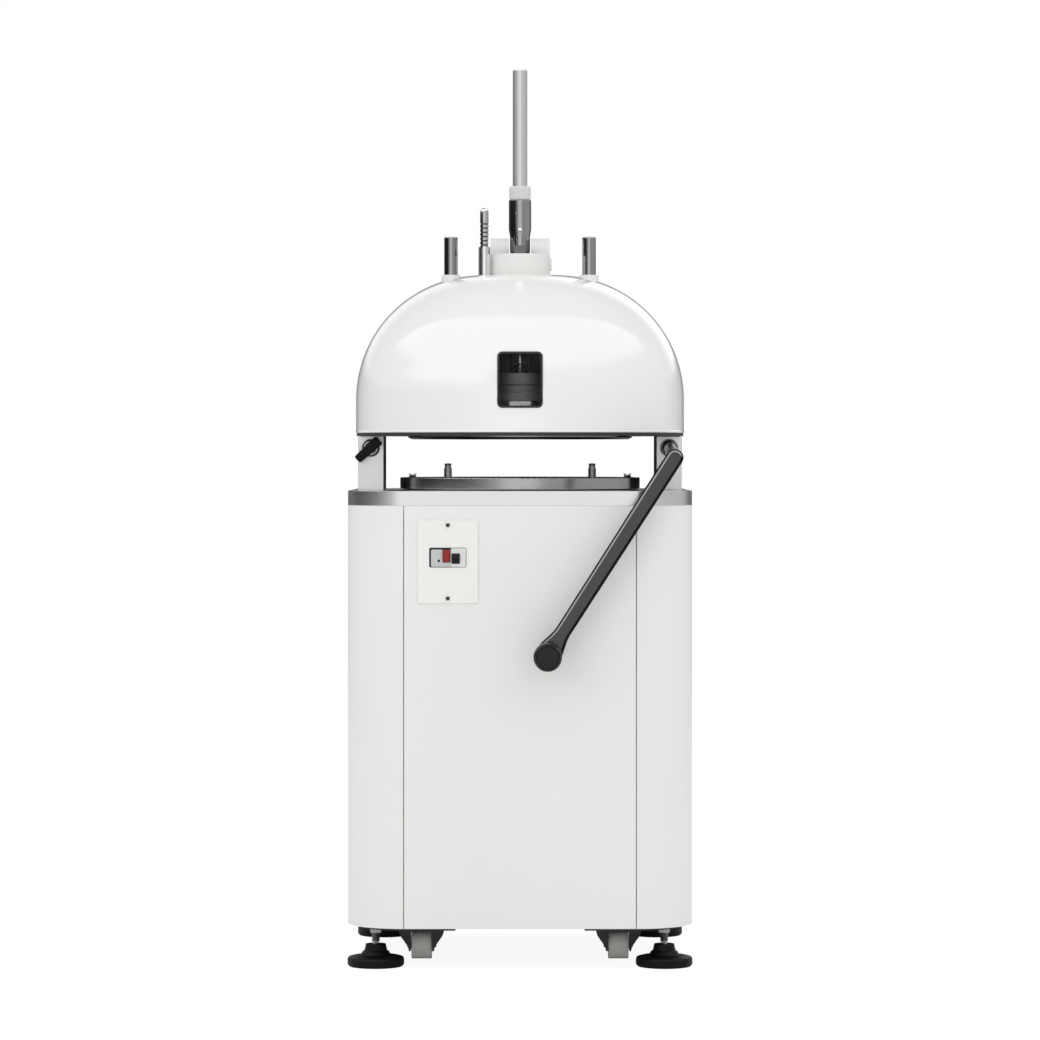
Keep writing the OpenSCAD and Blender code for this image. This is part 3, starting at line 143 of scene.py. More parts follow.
class Tree:
    """A node tree that is filled by calls."""

    def __init__(self, node_tree):
        self.nodes = node_tree.nodes
        self.links = node_tree.links
        self.nodes.clear()

    def feed(self, node, sockets):
        """Gives a node's sockets their values or links."""
        for name, value in sockets.items():
            if isinstance(value, Sum):
                self.links.new(value.socket, node.inputs[name])
            else:
                node.inputs[name].default_value = value

    def add(self, kind, settings=None, sockets=None, out=0):
        """Adds a node: its settings first, then its sockets."""
        node = self.nodes.new(kind)
        for name, value in (settings or {}).items():
            setattr(node, name, value)
        self.feed(node, sockets or {})
        return Sum(self, node.outputs[out]) if node.outputs else node

    def place(self, scale=(1, 1, 1), centre=(0, 0, 0)):
        """The point on the object, in its own frame, stretched about a centre."""
        point = self.add("ShaderNodeTexCoord", out="Object")
        moved = self.add("ShaderNodeVectorMath", {"operation": "SUBTRACT"}, {0: point, 1: centre})
        return self.add("ShaderNodeVectorMath", {"operation": "MULTIPLY"}, {0: moved, 1: scale})

    def axes(self, vector):
        """The three parts of a vector."""
        parts = self.add("ShaderNodeSeparateXYZ", sockets={0: vector})
        outputs = parts.socket.node.outputs
        return [Sum(self, outputs[i]) for i in range(3)]

    def noise(self, vector, scale, detail, rough=0.55):
        """A cloudy pattern between 0 and 1."""
        sockets = {"Vector": vector, "Scale": scale, "Detail": detail, "Roughness": rough}
        return self.add("ShaderNodeTexNoise", None, sockets)

    def step(self, value, low, high):
        """Rises smoothly from 0 at low to 1 at high."""
        sockets = {"Value": value, "From Min": low, "From Max": high}
        return self.add("ShaderNodeMapRange", {"interpolation_type": "SMOOTHSTEP"}, sockets)

    def mix(self, first, second, share):
        """One colour turning into another."""
        return self.add("ShaderNodeMix", {"data_type": "RGBA"}, {0: share, 6: first, 7: second}, out=2)


print("sums and trees ready")


# %% A finish
class Finish(Tree):
    """A material with one surface shader."""

    def __init__(self, name, **fixed):
        self.material = bpy.data.materials.new(name)
        self.material.use_nodes = True
        super().__init__(self.material.node_tree)
        self.shader = self.nodes.new("ShaderNodeBsdfPrincipled")
        self.add("ShaderNodeOutputMaterial", None, {"Surface": Sum(self, self.shader.outputs[0])})
        self.set(**fixed)

    def set(self, **sockets):
        """Sets or links the shader's sockets, named with _ for a space."""
        for name, value in sockets.items():
            self.feed(self.shader, {name.replace("_", " ").title().replace("Ior", "IOR"): value})

    def bump(self, height, depth):
        """Raises the surface by a height from 0 to 1, times a depth in metres."""
        sockets = {"Height": height, "Distance": depth, "Strength": 1.0}
        self.set(normal=self.add("ShaderNodeBump", None, sockets))


def shade(colour, factor):
    """A colour made lighter or darker, as a socket takes it."""
    return (*(min(1.0, part * factor) for part in colour), 1.0)


FINISHES = {}


def keep(finish):
    """Files a finished material under its name."""
    FINISHES[finish.material.name] = finish.material


print("finishes can be made")

# %% [markdown]
# ## Studio
# A pale floor and a white surround, as in a catalogue picture. The surround is white for the camera. What
# the gloss mirrors is a plain studio: a large softbox overhead in front, a strip light high on the left, a
# window behind to the right and grey sides. A dark flag on the left and darkness straight behind draw the
# dark edge lines on the posts and the tube.

# %% Surround
AMBIENT = 0.99
SIDE_GREY = 0.52
SOFTBOX = 1.7
CEILING = 0.45
STRIP_LIGHT = 1.3
REAR_WALL, REAR_CEILING, WINDOW = 1.05, 0.6, 0.8
FLAG_DARK, CORNER_DARK, OUTLINE_DARK = 0.96, 0.75, 0.96


def make_world():
    """White for the camera, an even light for matt surfaces and a drawn studio for the gloss."""
    world = bpy.data.worlds.new("studio")
    bpy.context.scene.world = world
    world.use_nodes = True
    tree = Tree(world.node_tree)
    # Zones of directions, 0 outside and 1 inside: x points right, y away from the camera and z up.
    x, y, z = tree.axes(tree.add("ShaderNodeTexCoord", out="Generated"))
    front = tree.step(0 - y, 0.90, 0.99)
    rear = tree.step(y, 0.70, 0.92) * tree.step(z, 0.11, 0.20)
    low = 1 - tree.step(z, 0.08, 0.17)
    flag = tree.step(y * -0.1 - x * 0.97, 0.42, 0.90) * low
    corner = tree.step(y, 0.30, 0.80) * low
    strip = tree.step(0 - x, 0.30, 0.45) * tree.step(z, 0.20, 0.28) * (1 - tree.step(y, -0.2, 0.1))
    outline = tree.step(y, 0.93, 0.98)
    sides = SIDE_GREY * (1 - flag * FLAG_DARK) * (1 - corner * CORNER_DARK)
    around = front + rear * REAR_WALL + (1 - front - rear) * sides + strip * STRIP_LIGHT
    above = tree.step(z, 0.40, 0.52)
    softbox_edge = tree.step(y - x * x, -0.19, -0.13)
    overhead = SOFTBOX - softbox_edge * (SOFTBOX - CEILING) + rear * REAR_CEILING
    window = tree.step(x, 0.02, 0.20) * rear
    lit = above * overhead + (1 - above) * around + window * WINDOW
    mirrored = lit * (1 - outline * OUTLINE_DARK)
    glossy = tree.add("ShaderNodeLightPath", out="Is Glossy Ray")
    seen = tree.add("ShaderNodeLightPath", out="Is Camera Ray")
    through = tree.add("ShaderNodeLightPath", out="Is Transmission Ray")
    level = glossy * mirrored + (1 - glossy) * AMBIENT
    white = tree.step(seen + through, 0.0, 1.0)
    strength = white + (1 - white) * level
    back = tree.add("ShaderNodeBackground", None, {"Color": (1, 1, 1, 1), "Strength": strength})
    tree.add("ShaderNodeOutputWorld", None, {"Surface": back})


make_world()
print("surround: ambient", AMBIENT, "softbox", SOFTBOX)

# %% Floor
FLOOR_SIDE = 14.0
FLOOR_GLOW, FLOOR_GLOW_SHARE = 1.14, 0.80


def make_floor():
    """A matt sheet that glows a little for the camera, so that it stays pale and keeps the shadow."""
    mesh = bpy.data.meshes.new("studio_floor")
    bm = bmesh.new()
    bmesh.ops.create_grid(bm, x_segments=1, y_segments=1, size=FLOOR_SIDE / 2)
    bm.to_mesh(mesh)
    bm.free()
    material = bpy.data.materials.new("studio_floor")
    material.use_nodes = True
    tree = Tree(material.node_tree)
    paper = tree.add("ShaderNodeBsdfDiffuse", None, {"Color": (0.9, 0.9, 0.9, 1)})
    glow = tree.add("ShaderNodeEmission", None, {"Color": (1, 1, 1, 1), "Strength": FLOOR_GLOW})
    seen = tree.add("ShaderNodeLightPath", out="Is Camera Ray")
    surface = tree.add("ShaderNodeMixShader", None, {0: seen * FLOOR_GLOW_SHARE, 1: paper, 2: glow})
    tree.add("ShaderNodeOutputMaterial", None, {"Surface": surface})
    floor = bpy.data.objects.new("studio_floor", mesh)
    floor.data.materials.append(material)
    bpy.context.scene.collection.objects.link(floor)
    floor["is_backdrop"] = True


make_floor()
print("floor:", FLOOR_SIDE, "m square")

# %% Softboxes
LAMP_AIM = Vector((0, 0, 0.95))


def softbox(name, location, side, watts):
    """An area lamp that lights the object without showing in its gloss."""
    data = bpy.data.lights.new(name, "AREA")
    data.shape = "RECTANGLE"
    data.size, data.size_y = side
    data.energy = watts
    lamp = bpy.data.objects.new(name, data)
    lamp.location = location
    lamp.rotation_euler = (LAMP_AIM - lamp.location).to_track_quat("-Z", "Y").to_euler()
    lamp.visible_glossy = False
    bpy.context.scene.collection.objects.link(lamp)


softbox("key_light", (2.2, -4.6, 3.2), (2.4, 2.4), 11)
softbox("fill_light", (-2.6, -4.6, 2.2), (2.0, 2.6), 13)
softbox("top_light", (0.3, 0.2, 4.6), (3.0, 3.0), 5)
print("softboxes:", len(bpy.data.lights))

# %% [markdown]
# ## Painted finishes
# The cabinet wears a fine powder coat, a little rough, and the dome a glossy enamel with the faint ripple
# of sprayed paint. One flat colour would look like plastic, so each coat gets a soft drift of tone, a
# fine skin in its bump and a trace of handling that dulls the gloss.

# %% Painted finishes
CLOUD_SCALE, HANDLING_SCALE, SPECK_SCALE = 2.6, 7.0, 900.0


def coat(name, colour, roughness, skin_size, skin_depth, gloss=0.0, drift=0.03, painted_highlight=0.0, **fixed):
    """Paint with a drift of tone over the panel, a fine skin and, where marked, matt edges and a painted
    highlight along an edge.
    """
    finish = Finish(name, **fixed)
    point = finish.place()
    cloud = finish.noise(point, CLOUD_SCALE, 4.0)
    handled = finish.step(finish.noise(point, HANDLING_SCALE, 5.0), 0.52, 0.78)
    skin = finish.noise(point, 1 / (skin_size * MM), 2.0)
    speck = finish.step(finish.noise(point, SPECK_SCALE, 1.0), 0.66, 0.74)
    tone = finish.mix(shade(colour, 1 - drift), shade(colour, 1 + drift), cloud)
    lacquer = gloss - handled * gloss * 0.3 if gloss else 0.0
    # On marked edge faces the tone turns to a lighter grey: a painted highlight along the edge.
    if painted_highlight:
        matt = finish.add("ShaderNodeAttribute", {"attribute_name": "matt_edge"}, out="Fac")
        lacquer = lacquer * (1 - matt)
        edge = finish.add("ShaderNodeAttribute", {"attribute_name": "painted_highlight_edge"}, out="Fac")
        tone = finish.mix(tone, (painted_highlight, painted_highlight, painted_highlight, 1), edge * (0.6 + cloud * 0.4))
    finish.set(
        base_color=finish.mix(tone, shade(colour, 0.86), speck * 0.25),
        roughness=roughness + handled * 0.07 + skin * 0.03,
        coat_weight=lacquer,
    )
    finish.bump(skin, skin_depth * MM)
    keep(finish)


coat("powder_white", (0.785, 0.785, 0.77), 0.40, 1.3, 0.035)
coat("enamel_white", (0.84, 0.84, 0.825), 0.10, 3.0, 0.012, gloss=0.3, drift=0.02)
coat("frame_primer", (0.25, 0.27, 0.28), 0.5, 1.5, 0.05)
coat("motor_paint", (0.10, 0.14, 0.17), 0.4, 1.5, 0.04)
coat("black_paint", (0.030, 0.030, 0.030), 0.42, 1.0, 0.04, drift=0.2, specular_ior_level=0.35)
# The lever's black carries a painted highlight, a lighter grey along the upper edge of the arm.
coat(
    "lever_black", (0.008, 0.008, 0.009), 0.17, 1.2, 0.006, gloss=0.95, drift=0.15, painted_highlight=0.42,
    specular_ior_level=0.04, coat_ior=1.7, coat_roughness=0.12,
)
coat("cuff_white", (0.64, 0.64, 0.63), 0.30, 1.5, 0.012, drift=0.02)
coat("dark_screw", (0.010, 0.010, 0.011), 0.35, 0.8, 0.03, drift=0.2)
coat("head_iron", (0.022, 0.022, 0.024), 0.5, 2.0, 0.15, drift=0.2)
print("paints:", ", ".join(sorted(FINISHES)))

# %% [markdown]
# ## Metals
# What tells brushed steel from chrome is the way it was worked. Sheet is brushed in long hairlines, a
# turned plate carries rings, a drawn tube has lines along it, and chrome is smooth but for smudges. So
# each metal gets its grain from the point on the object, stretched along the way of working.



# %% Ways of working a metal
def dress_metal(finish, colour, roughness, lines, grain, depth, smudge_scale=9.0):
    """Gives a metal its tone, roughness and bump from its working lines and its smudges."""
    smudge = finish.noise(finish.place(), smudge_scale, 4.0)
    bright = finish.mix(shade(colour, 0.9), shade(colour, 1.08), lines)
    dull = finish.step(smudge, 0.5, 0.75)
    finish.set(
        base_color=finish.mix(bright, shade(colour, 0.93), dull * 0.5),
        roughness=roughness + (lines - 0.5) * grain + dull * 0.05,
    )
    finish.bump(lines, depth * MM)
    keep(finish)


def grained(name, colour, roughness, stretch, grain, depth):
    """Metal with hairlines: the stretch is how fast the grain changes along X, Y and Z."""
    finish = Finish(name, metallic=1.0)
    lines = finish.noise(finish.place(stretch), 1.0, 4.0, 0.65)
    dress_metal(finish, colour, roughness, lines, grain, depth)


def turned_metal(name, colour, roughness, pitch, centre=(0, 0, 0), grain=0.10, depth=0.004):
    """Metal turned about an upright axis: rings on its faces, lines round its rim."""
    finish = Finish(name, metallic=1.0)
    x, y, z = finish.axes(finish.place((1, 1, 1), centre))
    radius = (x * x + y * y) ** 0.5
    ring = finish.add("ShaderNodeCombineXYZ", None, {0: radius, 1: z})
    lines = finish.noise(ring, 1 / (pitch * MM), 3.0, 0.6)
    dress_metal(finish, colour, roughness, lines, grain, depth)


def sheet_metal(name, colour, roughness):
    """Brushed sheet: hairlines run along the face, on the top as well as round the band."""
    finish = Finish(name, metallic=1.0)
    facing = finish.add("ShaderNodeNewGeometry", out="Normal")
    flat = finish.step(finish.axes(facing)[2], 0.5, 0.8)
    on_top = finish.noise(finish.place((7, 900, 7)), 1.0, 4.0, 0.65)
    on_band = finish.noise(finish.place((5, 5, 1500)), 1.0, 4.0, 0.65)
    lines = flat * on_top + (1 - flat) * on_band
    dress_metal(finish, colour, roughness, lines, 0.12, 0.004, smudge_scale=7.0)


print("metals can be brushed and turned")

# %% Metals
# The scale rod's ring marks: how many, their pitch, and how far the lowest lies below the top, in mm.
MARKS, MARK_PITCH, FIRST_MARK = 6, 8.0, 71.0
ROD_CHROME = (0.62, 0.625, 0.63)
rod_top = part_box("scale_rod")[1].z

# Chrome with dark ink in those marks.
rod = Finish("scale_chrome", metallic=1.0)
up = rod.axes(rod.place())[2]
along = (up - (rod_top - FIRST_MARK * MM)) * (1 / (MARK_PITCH * MM)) + 0.5
within = rod.step(along, 0.0, 0.02) * (1 - rod.step(along, MARKS - 0.02, MARKS))
saw = rod.add("ShaderNodeMath", {"operation": "FRACT"}, {0: along})
off = rod.add("ShaderNodeMath", {"operation": "ABSOLUTE"}, {0: saw - 0.5})
ink = within * (1 - rod.step(off, 0.10, 0.18))
smudge = rod.noise(rod.place(), 40.0, 3.0)
plain = rod.mix(shade(ROD_CHROME, 0.95), shade(ROD_CHROME, 1.05), smudge)
rod.set(
    base_color=rod.mix(plain, (0.02, 0.02, 0.02, 1), ink * 0.9),
    roughness=0.09 + ink * 0.4 + smudge * 0.03,
)
keep(rod)
table_low, table_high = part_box("rounding_table")
table_mid = (table_low + table_high) / 2
sheet_metal("deck_steel", (0.78, 0.785, 0.785), 0.24)
turned_metal("table_steel", (0.46, 0.465, 0.465), 0.22, 0.9, centre=(table_mid.x, table_mid.y, 0))
turned_metal("ring_steel", (0.42, 0.42, 0.41), 0.12, 1.2, grain=0.06)
turned_metal("head_alloy", (0.20, 0.205, 0.21), 0.40, 1.4, depth=0.01)
for row in (
    ("column_steel", (0.76, 0.765, 0.765), 0.36, (900, 900, 6), 0.05, 0.0005),
    ("tube_steel", (0.76, 0.765, 0.765), 0.34, (500, 500, 4), 0.05, 0.0003),
    ("chrome", (0.42, 0.425, 0.43), 0.08, (40, 40, 40), 0.02, 0.0001),
    # The next, lighter copy of the chrome is a painted highlight, used on the scale sleeve and the socket
    # bolt.
    ("highlight_chrome", (0.94, 0.94, 0.94), 0.15, (40, 40, 40), 0.02, 0.0001),
    ("zinc", (0.36, 0.36, 0.355), 0.30, (220, 220, 220), 0.16, 0.004),
    # The next is a darker copy of the lever steel, used on the lever hub.
    ("dark_steel", (0.10, 0.10, 0.105), 0.30, (300, 300, 300), 0.12, 0.004),
    ("machine_steel", (0.42, 0.425, 0.43), 0.33, (500, 500, 500), 0.12, 0.004),
    ("spring_wire", (0.33, 0.335, 0.34), 0.34, (900, 900, 900), 0.15, 0.004),
    ("bronze", (0.17, 0.16, 0.14), 0.42, (700, 700, 90), 0.12, 0.004),
    ("grey_iron", (0.22, 0.225, 0.23), 0.5, (420, 420, 420), 0.2, 0.03),
):
    grained(*row)
print("metals made, finishes so far:", len(FINISHES))

# %% [markdown]
# ## Plastics, rubber and glass
# Moulded pieces have a fine spark-eroded grain that scatters the light. Rubber is duller and dusty in
# patches. The window is a thin clear pane, so a low alpha with a glossy skin is enough.


# %% Plastics, rubber and glass
def moulded(name, colour, roughness, grain_size, grain_depth, dust=0.0, **fixed):
    """Moulded plastic or rubber with an even grain and a little dust."""
    finish = Finish(name, **fixed)
    point = finish.place()
    grain = finish.noise(point, 1 / (grain_size * MM), 3.0)
    cloud = finish.noise(point, 14.0, 4.0)
    lying = finish.step(cloud, 0.45, 0.8) * dust
    tone = finish.mix(shade(colour, 0.88), shade(colour, 1.12), grain)
    finish.set(
        base_color=finish.mix(tone, (0.30, 0.29, 0.27, 1), lying),
        roughness=roughness + grain * 0.08 + lying * 0.3,
    )
    finish.bump(grain, grain_depth * MM)
    keep(finish)


moulded("switch_white", (0.82, 0.82, 0.80), 0.30, 0.9, 0.010)
moulded("switch_grey", (0.53, 0.55, 0.53), 0.36, 0.8, 0.012)
moulded("switch_pale", (0.68, 0.69, 0.67), 0.34, 0.8, 0.012)
moulded("black_plastic", (0.004, 0.004, 0.004), 0.40, 1.0, 0.05, dust=0.005, specular_ior_level=0.15)
moulded("grip_black", (0.006, 0.006, 0.0065), 0.30, 0.9, 0.02, dust=0.006, specular_ior_level=0.3)
moulded("knob_black", (0.004, 0.004, 0.0045), 0.34, 0.9, 0.02, dust=0.004, specular_ior_level=0.14)
moulded("stop_red", (0.27, 0.016, 0.017), 0.26, 0.8, 0.008, specular_ior_level=0.3)
moulded("start_black", (0.004, 0.0045, 0.005), 0.22, 0.8, 0.008, specular_ior_level=0.2)
moulded("pad_plastic", (0.66, 0.66, 0.62), 0.40, 1.2, 0.02)
moulded("edging_rubber", (0.008, 0.008, 0.008), 0.50, 0.7, 0.03, dust=0.03)
moulded("belt_rubber", (0.012, 0.012, 0.012), 0.62, 0.8, 0.05, dust=0.10)
moulded("wheel_grey", (0.78, 0.785, 0.745), 0.52, 0.9, 0.05, dust=0.04)
pane = Finish("pane_glass", alpha=0.06)
smear = pane.noise(pane.place((6, 6, 2)), 6.0, 4.0)
pane.set(
    base_color=pane.mix((0.02, 0.022, 0.022, 1), (0.05, 0.054, 0.054, 1), smear),
    roughness=0.03 + pane.step(smear, 0.5, 0.8) * 0.08,
)
keep(pane)
print("finishes:", len(FINISHES))

# %% [markdown]
# ## Every node gets its finish
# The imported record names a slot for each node. One table turns the slots into finishes, a second names the
# nodes that differ from their slot, and every node that stays in view takes its own.

# %% Every node gets its finish
SLOT_FINISH = {
    "white_enamel": "enamel_white", "lever_steel": "tube_steel", "frame_paint": "frame_primer",
    "spring_steel": "spring_wire",
}
NODE_FINISH = {
    "side_shell_left": "powder_white", "side_shell_right": "powder_white", "front_panel": "powder_white",
    "rear_panel": "powder_white", "lever_bracket": "powder_white", "lever_pivot_pin": "enamel_white",
    "cover_screws": "dark_screw", "scale_sleeve": "highlight_chrome", "lever_hub": "dark_steel",
}
slot_of = {part["node"]: part["material_slot"] for part in frame["record"]["subparts"]}
for node, thing in frame["nodes"].items():
    usual = SLOT_FINISH.get(slot_of[node], slot_of[node])
    thing.data.materials.append(FINISHES[NODE_FINISH.get(node, usual)])
print("finishes on", len(frame["nodes"]), "nodes")

# %% [markdown]
# ## Ways of making a piece
# Each piece is built as a bmesh and then put in its place: it rides on a body and can stand in for plain
# nodes. The first way of making one takes a CAD piece, clears its flat faces of needless edges and rounds
# what is left. Plate, turning and extrusion follow where they are first needed.

# %% Ways of making a piece
behaviour = frame["record"]["behaviour"]
body_of = {node: body for body, nodes in behaviour["bodies"].items() for node in nodes}
joint_of = {joint["name"]: joint for joint in behaviour["joints"]}


def box_of(node):
    """A node's lowest corner, highest corner and middle."""
    low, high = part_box(node)
    return low, high, (low + high) / 2


def put(bm, name, finish, *nodes, body=None, slot=None, crease=32):
    """Makes a piece of a bmesh, riding on a body, in place of the named nodes."""
    bmesh.ops.remove_doubles(bm, verts=bm.verts[:], dist=1e-6)
    bmesh.ops.recalc_face_normals(bm, faces=bm.faces[:])
    mesh = bpy.data.meshes.new(name)
    bm.to_mesh(mesh)
    bm.free()
    mesh.shade_smooth()
    mesh.set_sharp_from_angle(angle=math.radians(crease))
    mesh.materials.append(FINISHES[finish])
    thing = bpy.data.objects.new(name, mesh)
    bpy.context.scene.collection.objects.link(thing)
    evened = thing.modifiers.new("flat_faces_stay_flat", "WEIGHTED_NORMAL")
    evened.keep_sharp = True
    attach(thing, body or body_of[nodes[0]])
    if nodes:
        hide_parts(*nodes)
    return thing


def rounded(bm, radius, above=40, segments=3, chosen=None):
    """Rounds the edges that turn by more than an angle, or those of them that are chosen."""
    edges = [
        edge for edge in bm.edges
        if len(edge.link_faces) == 2
        and edge.calc_face_angle(0.0) > math.radians(above)
        and (chosen is None or chosen(edge))
    ]
    bmesh.ops.bevel(
        bm, geom=edges, offset=radius, offset_type="OFFSET", segments=segments, profile=0.5,
        affect="EDGES", material=-1, clamp_overlap=True,
    )
    return bm


def softened(node, radius):
    """A CAD piece with its sharp edges rounded, in the finish of its node."""
    bm = bmesh.new()
    bm.from_mesh(frame["nodes"][node].data)
    bmesh.ops.remove_doubles(bm, verts=bm.verts[:], dist=2e-6)
    bmesh.ops.dissolve_limit(
        bm, angle_limit=math.radians(0.6), use_dissolve_boundaries=False,
        verts=bm.verts[:], edges=bm.edges[:],
    )
    if radius:
        rounded(bm, radius, segments=2)
    finish = frame["nodes"][node].data.materials[0].name
    return put(bm, node + "_shaped", finish, node)


print("helpers ready")

# %% [markdown]
# ## Edges that catch the light
# Sheet and castings never end in a knife edge. The radius here is what the real edge would have: under a
# millimetre on sheet, one to three on cast or machined blocks.

# %% Edges that catch the light
EDGE_RADII = {
    "side_shell_left": 1.4, "side_shell_right": 1.4, "front_panel": 1.4, "rear_panel": 1.4,
    "deck_plate": 2.0, "column_left": 1.5, "column_right": 1.5, "base_rails": 0.6,
    "rounding_table": 0, "lever_bracket": 2.0, "post_bosses": 1.5, "window_edging": 1.0,
    "crosshead": 0.8, "switch_plate": 0.9, "switch_body": 0.8,
    "caster_plates": 0.5, "head_frame": 0.8,
}
for node, radius in EDGE_RADII.items():
    softened(node, radius * MM)
print("rounded edges on", len(EDGE_RADII), "pieces")

# %% [markdown]
# ## Painted shade on the columns
# A dark strip on the inner face of each column is painted shade: it stands in for the shadow on that face.

# %% Painted shade on the columns
SHADE_STRIP_THICK, SHADE_STRIP_INSET, SHADE_STRIP_PLAY = 1.2 * MM, 3 * MM, 0.4 * MM


def rise(edge):
    """How far an edge climbs."""
    return abs(edge.verts[0].co.z - edge.verts[1].co.z)


def plate(width, depth, height, corner=0.0, edge=0.0):
    """A block with its middle at the origin, upright corners and then all rims rounded."""
    bm = bmesh.new()
    bmesh.ops.create_cube(bm, size=1.0, matrix=Matrix.Diagonal((width, depth, height, 1)))
    if corner:
        rounded(bm, corner, segments=2, chosen=lambda line: rise(line) > height / 2)
    if edge:
        rounded(bm, edge)
    return bm


def moved(bm, x=0.0, y=0.0, z=0.0, turn=None):
    """Turns a bmesh about the origin and then moves it."""
    matrix = Matrix.Translation((x, y, z))
    if turn is not None:
        matrix = matrix @ turn
    bmesh.ops.transform(bm, matrix=matrix, verts=bm.verts[:])
    return bm


for side in ("left", "right"):
    low, high, mid = box_of("column_" + side)
    shade_strip = plate(
        SHADE_STRIP_THICK, high.y - low.y - 2 * SHADE_STRIP_INSET, high.z - low.z - SHADE_STRIP_PLAY,
        corner=0.4 * MM, edge=0.2 * MM,
    )
    inner_face = high.x if side == "left" else low.x
    moved(shade_strip, inner_face, mid.y, mid.z)
    # The black strip is painted shade on the column's inner face.
    put(shade_strip, "column_shade_strip_" + side, "black_plastic", body="base", slot="black_plastic")
print("shade_strips on both columns")

# %% [markdown]
# ## Rims of the head
# The dome ends in a rolled bead. The press ring below it is turned with a slanted lower edge, and a thin
# dark band over that slant is painted shade, standing in for the shadow under the ring.

# %% Rims of the head
BEAD_RADIUS, BEAD_PROUD, BEAD_TURNS = 2.6 * MM, 0.7 * MM, 14
RING_WALL = 11 * MM
SLANT_WIDTH, SLANT_HEIGHT = 7 * MM, 3.4 * MM
SKIN = 0.1 * MM


def turned(points, radius=0.0, steps=72, closed=False):
    """Spins a profile of (radius, height) points about Z and rounds its corners."""
    bm = bmesh.new()
    corners = [bm.verts.new((across, 0, up)) for across, up in points]
    lines = [bm.edges.new(pair) for pair in zip(corners, corners[1:])]
    if closed:
        lines.append(bm.edges.new((corners[-1], corners[0])))
    bmesh.ops.spin(
        bm, geom=corners + lines, cent=(0, 0, 0), axis=(0, 0, 1), angle=math.tau, steps=steps,
        use_merge=True, use_normal_flip=False, use_duplicate=False,
    )
    bmesh.ops.remove_doubles(bm, verts=bm.verts[:], dist=1e-7)
    bmesh.ops.recalc_face_normals(bm, faces=bm.faces[:])
    if radius:
        rounded(bm, radius, above=25)
    return bm


def arc(across, up, radius, start, stop, turns):
    """Points on a circle about a middle, from one angle to another."""
    angles = [start + (stop - start) * i / turns for i in range(turns + 1)]
    return [(across + radius * math.cos(angle), up + radius * math.sin(angle)) for angle in angles]


dome_low, dome_high = box_of("dome_shell")[:2]
bead_x, bead_z = dome_high.x + BEAD_PROUD - BEAD_RADIUS, dome_low.z + BEAD_RADIUS
roll = arc(bead_x, bead_z, BEAD_RADIUS, -math.pi / 2, math.pi / 2, BEAD_TURNS)
bead = turned(roll, steps=180, closed=True)
put(bead, "dome_bead", "enamel_white", body="base", slot=slot_of["dome_shell"])

ring_low, ring_high = box_of("press_ring")[:2]
radius, bottom, top = ring_high.x, ring_low.z, ring_high.z
slant_top = bottom + SLANT_HEIGHT
ring = turned([
    (radius - RING_WALL, bottom), (radius - SLANT_WIDTH, bottom), (radius, slant_top),
    (radius, top), (radius - RING_WALL, top),
], steps=144, closed=True)
put(ring, "press_ring_turned", "ring_steel", "press_ring")

# The painted shade is a thin band over the slant, no lower than the ring itself.
shade_band_top = slant_top + 6 * SKIN
shade_band = turned([
    (radius - SLANT_WIDTH + 4 * SKIN, bottom + SKIN / 4), (radius + SKIN, slant_top),
    (radius + SKIN, shade_band_top), (radius - 10 * SKIN, shade_band_top),
], steps=144, closed=True)
put(shade_band, "press_ring_shade_band", "black_plastic", body="press_head", slot="edging_rubber")
print("rims: bead at", round(dome_low.z, 4), "lip at", round(ring_low.z, 4))

# %% [markdown]
# ## Levelling feet
# Each foot is a moulded pad with a stepped hub, a ball on the end of a threaded stem, and a lock nut under
# the rail. The pad is turned, so its profile is all it needs; the thread is a row of small rings.

# %% Levelling feet
PAD_RADIUS, HUB_TOP, SOCKET_RADIUS, SEAT_PLAY = 52.5, 41.5, 8.4, 0.3
BALL_RADIUS, BALL_NECK = 6.6, 4.6
STEM_RADIUS, THREAD_PITCH, THREAD_DEPTH = 7.5, 2.0, 0.7
NUT_ACROSS, NUT_HEIGHT, NUT_EDGE, NUT_LEVEL = 20 * MM, 8 * MM, 0.8 * MM, 66 * MM
pad_high = box_of("foot_pads")[1]
stem_low, stem_high = box_of("foot_stems")[:2]
foot_x = pad_high.x - PAD_RADIUS * MM
foot_y = pad_high.y - PAD_RADIUS * MM
FOOT_PLACES = [(x, y) for x in (-foot_x, foot_x) for y in (-foot_y, foot_y)]


def scaled(points):
    """Profile points given in millimetres."""
    return [(across * MM, up * MM) for across, up in points]


def joined(*parts):
    """Puts several bmeshes into the first of them."""
    whole = parts[0]
    for part in parts[1:]:
        mesh = bpy.data.meshes.new("joining")
        part.to_mesh(mesh)
        part.free()
        whole.from_mesh(mesh)
        bpy.data.meshes.remove(mesh)
    return whole


def foot_pad():
    """A wide foot that steps in to its hub, with a seat for the ball."""
    seat = stem_low.z / MM - SEAT_PLAY
    return turned(scaled([
        (0, 0), (49, 0), (PAD_RADIUS, 4), (PAD_RADIUS, 14), (50.5, 17.5), (43, 19.5), (28, 21.5),
        (25, 27), (21, 30), (18.5, HUB_TOP), (SOCKET_RADIUS, HUB_TOP), (SOCKET_RADIUS, seat), (0, seat),
    ]), 0.8 * MM)


